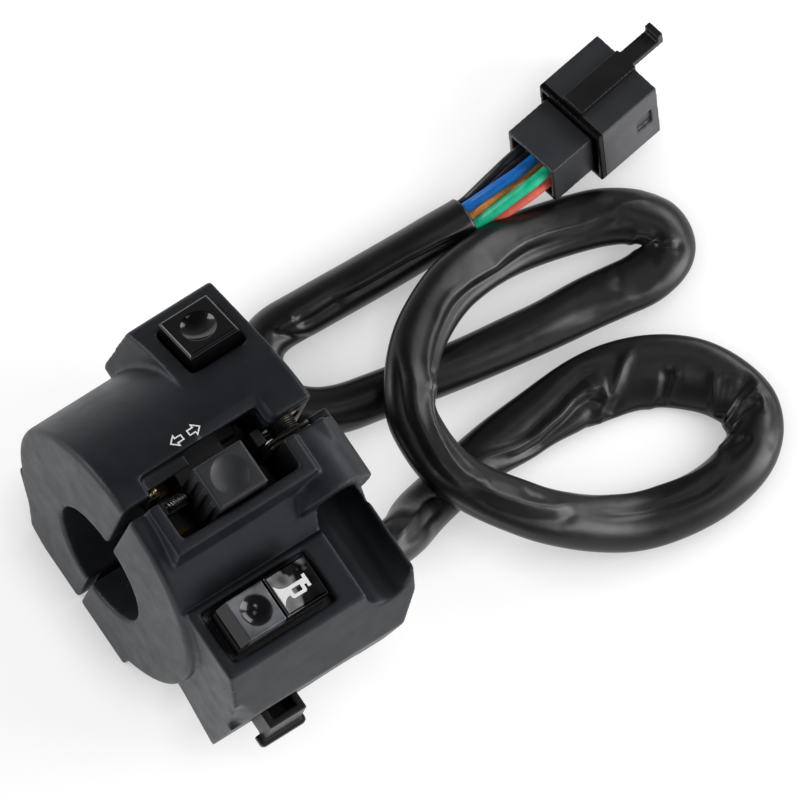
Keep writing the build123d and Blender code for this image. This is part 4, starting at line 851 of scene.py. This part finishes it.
# the sleeve's folds: half width and height in millimetres (a valley is below zero), and the line
# as pairs of place along the sleeve in stations and angle round it (0 right, 90 top)
folds = [
    # inner ridge of the upper loop
    (0.8, 0.6, [
        (18.86, 114), (18.27, 90), (17.81, 81), (17.31, 87), (17.03, 87), (16.73, 81), (16.43, 72),
        (16.1, 78), (15.79, 81), (15.52, 87), (15.24, 87), (14.96, 81), (14.65, 78), (14.31, 75),
        (14.0, 66), (13.67, 57), (13.19, 66), (12.81, 75), (12.5, 81), (12.23, 87), (12.0, 93),
        (11.85, 96),
    ]),
    # valley inside that ridge
    (0.9, -0.6, [
        (18.36, 69), (17.81, 60), (17.39, 63), (17.08, 63), (16.83, 57), (16.53, 51), (16.17, 54),
        (15.79, 60), (15.45, 63), (15.14, 60), (14.77, 54), (14.42, 48), (14.15, 48), (13.81, 42),
        (13.38, 24), (12.85, 48), (12.5, 60), (12.23, 66), (11.97, 78),
    ]),
    # outer valley of the left bend
    (1.3, -0.5, [
        (14.31, 150), (13.86, 129), (13.43, 123), (12.92, 123), (12.54, 129), (12.23, 132), (11.91, 132),
    ]),
    # outer ridge of the left bend
    (1.4, 0.35, [(14.15, 111), (13.71, 96), (13.19, 99), (12.77, 105), (12.38, 111), (12.08, 117)]),
    # crumple
    (0.9, 0.3, [(13.9, 63), (13.9, 39), (13.76, 18)]),
    (0.9, -0.3, [(13.67, 63), (13.52, 45), (13.38, 21)]),
    (0.9, -0.22, [(14.12, 60), (14.12, 39), (14.12, 15)]),
    # top dent
    (1.2, -0.3, [(18.91, 150), (19.29, 165)]),
    # fold edge over the hollow
    (0.9, 0.3, [(18.55, -75), (18.77, 39), (19.79, 36), (20.12, 72), (20.0, 108)]),
    # valley under the edge
    (1.8, -0.5, [(19.0, 15), (20.35, 54), (20.29, 87), (20.12, 123)]),
    # hollow ridge
    (0.9, 0.1, [(20.29, 78), (20.41, 99), (20.41, 135)]),
    (1.1, 0.1, [(21.08, 120), (21.32, 129), (21.6, 126), (21.88, 111)]),
    # hollow valley
    (1.8, -0.2, [(20.59, 57), (20.82, 84), (21.04, 102), (21.32, 111), (21.68, 111)]),
    (1.2, -0.15, [(21.6, 36), (21.68, 81), (21.8, 102)]),
    # ribbon ridge
    (0.8, 0.65, [(3.12, 78), (3.65, 63), (4.05, 63), (4.33, 72), (4.55, 87), (4.74, 90), (4.9, 93)]),
    # ribbon valley above
    (1.2, -0.4, [(3.41, 81), (3.88, 75), (4.29, 90), (4.55, 105), (4.76, 117), (4.95, 117)]),
    # ribbon valley below
    (1.0, -0.7, [(3.53, 42), (4.0, 36), (4.33, 54), (4.52, 69), (4.69, 75), (4.79, 66)]),
    # ribbon zigzag
    (0.7, 0.45, [(4.9, 93), (4.88, 69), (4.95, 69), (5.09, 90), (5.24, 114), (5.39, 129)]),
    # ribbon drop
    (0.8, 0.25, [(4.88, 69), (4.74, 42), (4.69, 3)]),
    # ribbon dent
    (1.2, -0.35, [(5.03, 60), (4.86, 27)]),
    (1.1, -0.2, [(4.69, 60), (4.6, 39), (4.48, -27)]),
    # pleat
    (1.5, -0.4, [(5.79, 93), (5.73, 57), (5.64, 18)]),
    (1.2, 0.2, [(5.67, 93), (5.58, 42), (5.42, -27)]),
    (0.8, 0.3, [(5.94, 96), (5.85, 63), (5.79, 27)]),
    (0.8, 0.3, [(6.42, 102), (6.55, 72), (6.65, 42), (6.94, 9)]),
    (1.5, -0.3, [(6.55, 108), (6.71, 75), (6.9, 36)]),
    (1.5, -0.7, [(6.81, 144), (6.9, 84), (7.04, 36), (7.17, -18)]),
    (0.9, 0.5, [(6.97, 153), (7.04, 84), (7.22, 51), (7.48, 9)]),
    # right end valley
    (1.4, -0.8, [(7.13, 123), (7.22, 81), (7.48, 42), (7.91, -3)]),
    # right end ridge
    (0.6, 0.35, [(7.13, 123), (7.39, 111)]),
    # right end hollow
    (1.5, -0.3, [(7.17, 147), (7.48, 138), (7.74, 138), (8.03, 123)]),
    # right end crumple
    (1.0, 0.4, [(7.83, 51), (8.15, 30), (8.38, 12)]),
    (1.1, -0.5, [(7.87, 72), (8.15, 57), (8.41, 42)]),
    # bottom ridge
    (1.0, 0.45, [(11.76, 102), (11.44, 99), (11.12, 93), (10.8, 84), (10.55, 57)]),
    (1.4, 0.5, [(10.47, 45), (9.92, 27), (9.41, 21), (8.97, 39), (8.59, 51), (8.38, 45)]),
    # bottom valley
    (1.3, -0.35, [(11.74, 126), (11.44, 129), (11.06, 123), (10.73, 108), (10.53, 84)]),
    (1.0, -0.4, [(10.4, 78), (9.95, 75), (9.44, 75), (9.03, 81), (8.62, 81)]),
    # bottom notch
    (1.0, -0.2, [(11.24, 60), (11.12, 75), (10.93, 72)]),
    # crossing crease
    (0.9, 0.25, [(11.85, 96), (11.74, 93), (11.65, 78)]),
    # lower strand ridge
    (1.6, 0.05, [(21.88, 120), (22.26, 96), (22.54, 84), (22.86, 93), (23.11, 105), (23.26, 111)]),
    # lower strand valley
    (1.5, -0.15, [(22.06, 135), (22.46, 120), (22.83, 135), (23.26, 135)]),
    # exit ridge
    (0.9, 0.5, [(0.63, 84), (1.16, 96), (1.84, 87), (2.23, 75)]),
    # exit valley
    (1.0, -0.45, [(0.88, 69), (1.32, 63), (2.03, 51)]),
    # rear ridge
    (0.6, 0.45, [(32.84, 63), (32.11, 69), (31.53, 75), (31.1, 75), (30.8, 75), (30.4, 78)]),
    # rear valley
    (0.8, -0.4, [(32.79, 51), (32.05, 57), (31.5, 63), (31.07, 63), (30.77, 63), (30.37, 63)]),
    # rear pinch
    (1.2, -0.7, [(30.43, 63), (30.2, 60), (29.86, 57), (29.55, 60)]),
    (0.8, 0.6, [(29.09, 75), (29.41, 75), (29.55, 75)]),
    (0.8, -0.5, [(29.0, 78), (29.32, 39), (29.73, -3)]),
]


def alongOf(index):
    # a place given in stations, in millimetres along the sleeve
    low = min(int(index), len(stations) - 2)
    return stations[low] + (stations[low + 1] - stations[low]) * (index - low)


def angleGap(a, b):
    return (a - b + 180) % 360 - 180


skinPerDegree = math.pi * sleeveForm["skinR"] / 180
foldLines = []
for width, height, line in folds:
    places = [(alongOf(index), angle) for index, angle in line]
    reach = sleeveForm["foldReach"] * width
    low = min(place[0] for place in places) - reach
    high = max(place[0] for place in places) + reach
    foldLines.append((low, high, width, height, places))


def skinDistance(along, around, places):
    # shortest way over the skin to a fold's line, and the share of the line passed there
    best = math.inf
    share = 0.0
    count = len(places) - 1
    for i in range(count):
        x = along - places[i][0]
        y = angleGap(around, places[i][1]) * skinPerDegree
        runX = places[i + 1][0] - places[i][0]
        runY = angleGap(places[i + 1][1], places[i][1]) * skinPerDegree
        part = min(1.0, max(0.0, (x * runX + y * runY) / max(runX * runX + runY * runY, 1e-6)))
        gap = math.hypot(x - part * runX, y - part * runY)
        if gap < best:
            best = gap
            share = (i + part) / count
    return best, share


def wrinkle(along, around):
    # how far the folds lift the skin at a place
    out = 0.0
    for low, high, width, height, places in foldLines:
        if low < along < high:
            gap, share = skinDistance(along, around, places)
            if gap < sleeveForm["foldReach"] * width:
                fade = sleeveForm["foldEnd"] + sleeveForm["foldEndFade"] * min(share, 1 - share)
                out += height * min(1.0, fade) * math.exp(-((gap / width) ** sleeveForm["foldRound"]))
    return out


def turnedFrame(line, i):
    # ahead, right and up at a point of a line
    before = line[max(i - 1, 0)]
    after = line[min(i + 1, len(line) - 1)]
    ahead = (after - before).normalized()
    right = ahead.cross(Vector((0, 0, 1))).normalized()
    return ahead, right, right.cross(ahead)


def sleeveRings():
    # the middle of each ring and the way from it to the skin all round
    around = sleeveForm["around"]
    rings = []
    for i, centre in enumerate(sleeveLine):
        ahead, right, up = turnedFrame(sleeveLine, i)
        halfWidth, halfHeight, roll, aside = between(i * sleeveStep)
        turn = math.radians(roll)
        wide = right * math.cos(turn) + up * math.sin(turn)
        high = up * math.cos(turn) - right * math.sin(turn)
        ring = []
        for k in range(around):
            angle = 2 * math.pi * k / around
            out = wrinkle(i * sleeveStep, math.degrees(angle))
            x = (halfWidth + out) * math.cos(angle)
            y = (halfHeight + out) * math.sin(angle)
            ring.append(wide * (x * mm) + high * (y * mm))
        rings.append((centre + right * (aside * mm), ring))
    return rings


def eased(values, reach):
    # each value becomes the mean of its neighbours
    made = []
    for i in range(len(values)):
        near = values[max(0, i - reach):i + reach + 1]
        made.append(sum(near) / len(near))
    return made


def tableRises(rings):
    # lying stretches keep their underside on the table, and lifted ones ease away from it
    rises = []
    for centre, ring in rings:
        lowest = min(offset.z for offset in ring)
        lying = (sleeveForm["lyingBelow"] - centre.z / mm) / sleeveForm["liftOver"]
        rise = floorZ + sleeveForm["tableGap"] * mm - lowest - centre.z
        rises.append(rise * max(0.0, min(1.0, lying)))
    for _ in range(sleeveForm["easePasses"]):
        rises = eased(rises, sleeveForm["easeRings"])
    return rises


def tubePiece(name, verts, around):
    # a closed skin over rings of points
    faces = []
    for low in range(0, len(verts) - around, around):
        for k in range(around):
            after = (k + 1) % around
            faces.append((low + k, low + after, low + after + around, low + k + around))
    faces.append(tuple(reversed(range(around))))
    faces.append(tuple(range(len(verts) - around, len(verts))))
    mesh = bpy.data.meshes.new(name)
    mesh.from_pydata([tuple(v) for v in verts], [], faces)
    mesh.update()
    for polygon in mesh.polygons:
        polygon.use_smooth = True
    piece = bpy.data.objects.new(name, mesh)
    bpy.context.scene.collection.objects.link(piece)
    return piece


def softTube(name):
    around = sleeveForm["around"]
    rings = sleeveRings()
    verts = []
    middles = []
    for (centre, ring), rise in zip(rings, tableRises(rings)):
        middle = centre + Vector((0, 0, rise))
        middles.append(middle)
        for offset in ring:
            spot = middle + offset
            spot.z = max(spot.z, floorZ + sleeveForm["leastGap"] * mm)
            verts.append(spot)
    # the open end: a rolled lip and the inside of the tube; the near end is closed in the grommet
    ahead = turnedFrame(sleeveLine, len(sleeveLine) - 1)[0]
    edge = verts[-around:]
    for depth, share in sleeveForm["lip"]:
        for spot in edge:
            verts.append(middles[-1] + (spot - middles[-1]) * share - ahead * (depth * mm))
    piece = tubePiece(name, verts, around)
    uv = piece.data.uv_layers.new(name="UVMap")
    for corner, loop in enumerate(piece.data.loops):
        ring, k = divmod(loop.vertex_index, around)
        along = min(ring, len(sleeveLine)) * sleeveStep
        uv.data[corner].uv = (k / around, along / sleeveForm["patternLength"])
    return piece, middles


sleeve, sleeveMiddle = softTube("harnessSleeve")
glossVinyl = vinyl("glossVinyl", dark=(0.0016, 0.0016, 0.0017), light=(0.0034, 0.0034, 0.0037))
sleeve.data.materials.append(glossVinyl)
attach(sleeve, "switch_block")
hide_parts("harness_sleeve")
print("sleeve made", len(sleeve.data.polygons), "faces")

# the six wires between the sleeve's end and the plug. Ring is where a wire leaves the sleeve and
# cell where it enters the plug (side, up), bow how far its run lifts; all in millimetres
wirePlan = {
    "wire_black": {
        "ring": (2.3, 0.9), "bow": 0.3, "cell": (3.1, 1.7), "radius": 0.85,
        "cover": wireCover("blackCover", dark=(0.008, 0.008, 0.009), light=(0.014, 0.014, 0.015)),
    },
    "wire_black_white": {
        "ring": (2.4, -0.9), "bow": 0.2, "cell": (3.1, -1.7), "radius": 0.85,
        "cover": wireCover("tracedCover", dark=(0.012, 0.012, 0.013), light=(0.05, 0.05, 0.052)),
    },
    "wire_blue": {
        "ring": (1.3, 2.1), "bow": 0.5, "cell": (0.0, 1.7), "radius": 1.0,
        "cover": wireCover("blueCover", dark=(0.0, 0.13, 0.5), light=(0.006, 0.18, 0.62)),
    },
    "wire_orange": {
        "ring": (-0.3, 1.2), "bow": 1.5, "cell": (0.0, -1.7), "radius": 1.0,
        "cover": wireCover("orangeCover", dark=(0.72, 0.25, 0.05), light=(0.85, 0.34, 0.08)),
    },
    "wire_green": {
        "ring": (-2.0, 1.5), "bow": 0.4, "cell": (-3.1, 1.7), "radius": 1.0,
        "cover": wireCover("greenCover", dark=(0.0, 0.52, 0.26), light=(0.03, 0.7, 0.4)),
    },
    "wire_red": {
        "ring": (-2.7, -0.7), "bow": 0.5, "cell": (-3.1, -1.7), "radius": 1.1,
        "cover": wireCover("redCover", dark=(0.9, 0.12, 0.08), light=(0.98, 0.2, 0.14)),
    },
}
# what all wires share, and the two thin wires in the gap at the slider's right end
wireForm = {
    "smoothness": 12,
    "ringStep": 0.3,
    "around": 20,
    "inSleeve": -5.0,
    "atMouth": 0.6,
    "atCell": -2.2,
    "inCell": 4.6,
    "bowsAt": (0.33, 0.67),
}
thinWire = {
    "radius": 0.4,
    "across": (-2.5, -1.6),
    "route": (  # along the bar, aside and height
        (8.4, 0, 15.8),
        (8.4, 0, 20.0),
        (8.5, 0, 24.1),
        (10.5, 0.15, 24.5),
        (13.5, -0.1, 24.6),
        (16.2, 0, 24.5),
        (17.0, 0, 23.7),
        (17.0, 0, 20.5),
    ),
}


def wireTube(name, points, radius, material, body, node):
    spline = smoothRoute(name + "Route", points, wireForm["smoothness"])
    line, _ = evenly(spline, wireForm["ringStep"] * mm)
    verts = []
    for i, centre in enumerate(line):
        ahead, right, up = turnedFrame(line, i)
        for k in range(wireForm["around"]):
            angle = 2 * math.pi * k / wireForm["around"]
            verts.append(centre + (right * math.cos(angle) + up * math.sin(angle)) * radius)
    piece = tubePiece(name, verts, wireForm["around"])
    piece.data.materials.append(material)
    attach(piece, body)
    if node:
        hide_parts(node)
    return piece


endMiddle = sleeveMiddle[-1] / mm
for name, wire in wirePlan.items():
    side, up = wire["cell"]
    start = endMiddle + Vector((wireForm["inSleeve"], *wire["ring"]))
    mouth = endMiddle + Vector((wireForm["atMouth"], *wire["ring"]))
    lead = inPlug(wireForm["atCell"], side, plugPlace["cellMiddle"] + up)
    seat = inPlug(wireForm["inCell"], side, plugPlace["cellMiddle"] + up)
    bowed = [mouth.lerp(lead, share) + Vector((0, 0, wire["bow"])) for share in wireForm["bowsAt"]]
    points = [tuple(p) for p in (start, mouth, *bowed, lead, seat)]
    radius = wire["radius"] * mm
    wireTube(name + "_cover", points, radius, wire["cover"], "switch_block", name)

for order, across in enumerate(thinWire["across"]):
    points = [(x, across + aside, z) for x, aside, z in thinWire["route"]]
    radius = thinWire["radius"] * mm
    cover = finishes["thinWire"]
    wireTube("thinWire_%d" % order, points, radius, cover, "switch_block", None)
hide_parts("internal_wires")
print("wires made")


# the painted marks
def flatOutline(name, outlines, thickness):
    data = bpy.data.curves.new(name, "CURVE")
    data.dimensions = "2D"
    data.fill_mode = "BOTH"
    data.extrude = thickness / 2
    for outline in outlines:
        spline = data.splines.new("POLY")
        spline.points.add(len(outline) - 1)
        for corner, (x, y) in zip(spline.points, outline):
            corner.co = (x * mm, y * mm, 0, 1)
        spline.use_cyclic_u = True
    mesh = meshOfCurve(name, data)
    mesh.name = name
    mesh.materials.clear()
    mesh.materials.append(finishes["paint"])
    piece = bpy.data.objects.new(name, mesh)
    bpy.context.scene.collection.objects.link(piece)
    return piece


def insetOutline(outline, inset):
    # the same closed outline drawn in by a line's width
    count = len(outline)
    area = sum(
        outline[i][0] * outline[(i + 1) % count][1] - outline[(i + 1) % count][0] * outline[i][1]
        for i in range(count)
    )
    side = 1 if area > 0 else -1
    sharpest = 0.3  # keeps the inset of a sharp corner short
    made = []
    for i in range(count):
        a = Vector(outline[i - 1])
        b = Vector(outline[i])
        c = Vector(outline[(i + 1) % count])
        first = (b - a).normalized()
        second = (c - b).normalized()
        normalA = Vector((-first.y, first.x)) * side
        normalB = Vector((-second.y, second.x)) * side
        lean = normalA + normalB
        made.append(tuple(b + lean * (inset / max(sharpest, lean.dot(normalA)))))
    return made


# the two outline arrows over the slider: tip and tail along the bar in millimetres, the barrel
# they lie on, and how far round it they stand from its top in degrees
turnMarks = {
    "arrows": {"leftTurnMark": (-6.65, -4.0), "rightTurnMark": (-0.35, -2.95)},
    "headLength": 1.45,
    "halfHead": 1.35,
    "halfShaft": 0.62,
    "line": 0.24,
    "thickness": 0.05,
    "gap": 0.05,
    "barrelR": 24.8,
    "barrelZ": 4.7,
    "angle": 15.7,
}


def turnArrow(name, tipX, tailX):
    # an outline arrow painted on the barrel, pointing along the slider's travel
    shaft = turnMarks["halfShaft"]
    head = turnMarks["halfHead"]
    headX = tipX - math.copysign(turnMarks["headLength"], tipX - tailX)
    outline = [
        (tailX, -shaft),
        (headX, -shaft),
        (headX, -head),
        (tipX, 0.0),
        (headX, head),
        (headX, shaft),
        (tailX, shaft),
    ]
    outlines = [outline, insetOutline(outline, turnMarks["line"])]
    piece = flatOutline(name, outlines, turnMarks["thickness"] * mm)
    barrelR = turnMarks["barrelR"] * mm
    for vertex in piece.data.vertices:
        angle = math.radians(turnMarks["angle"]) + vertex.co.y / barrelR
        reach = barrelR + turnMarks["gap"] * mm + vertex.co.z
        height = turnMarks["barrelZ"] * mm + reach * math.cos(angle)
        vertex.co = (vertex.co.x, reach * math.sin(angle), height)
    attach(piece, "switch_block")


for name, (tipX, tailX) in turnMarks["arrows"].items():
    turnArrow(name, tipX, tailX)

# the horn on its tile: its outline and the hole in it, thickness and gap over the tile
hornSign = {
    "outline": [
        (-5.3, -22.8), (-4.75, -23.5), (-4.0, -23.95), (-3.2, -24.1), (0.0, -24.1), (0.0, -23.5),
        (0.6, -23.5), (0.6, -25.9), (0.0, -25.9), (0.0, -25.2), (-0.45, -25.2), (-0.45, -26.1),
        (-0.75, -26.4), (-3.1, -26.4), (-3.45, -26.1), (-3.5, -25.5), (-4.2, -25.65), (-4.8, -26.05),
        (-5.3, -26.8),
    ],
    "hole": [(-2.8, -24.75), (-1.1, -24.75), (-1.1, -25.8), (-2.8, -25.8)],
    "thickness": 0.16,
    "gap": 0.03,
}
hornMark = flatOutline("hornMark", [hornSign["outline"], hornSign["hole"]], hornSign["thickness"] * mm)
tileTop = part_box("horn_symbol_tile")[1][2]
for vertex in hornMark.data.vertices:
    vertex.co.z += tileTop + hornSign["gap"] * mm
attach(hornMark, "horn_button")
print("marks painted")
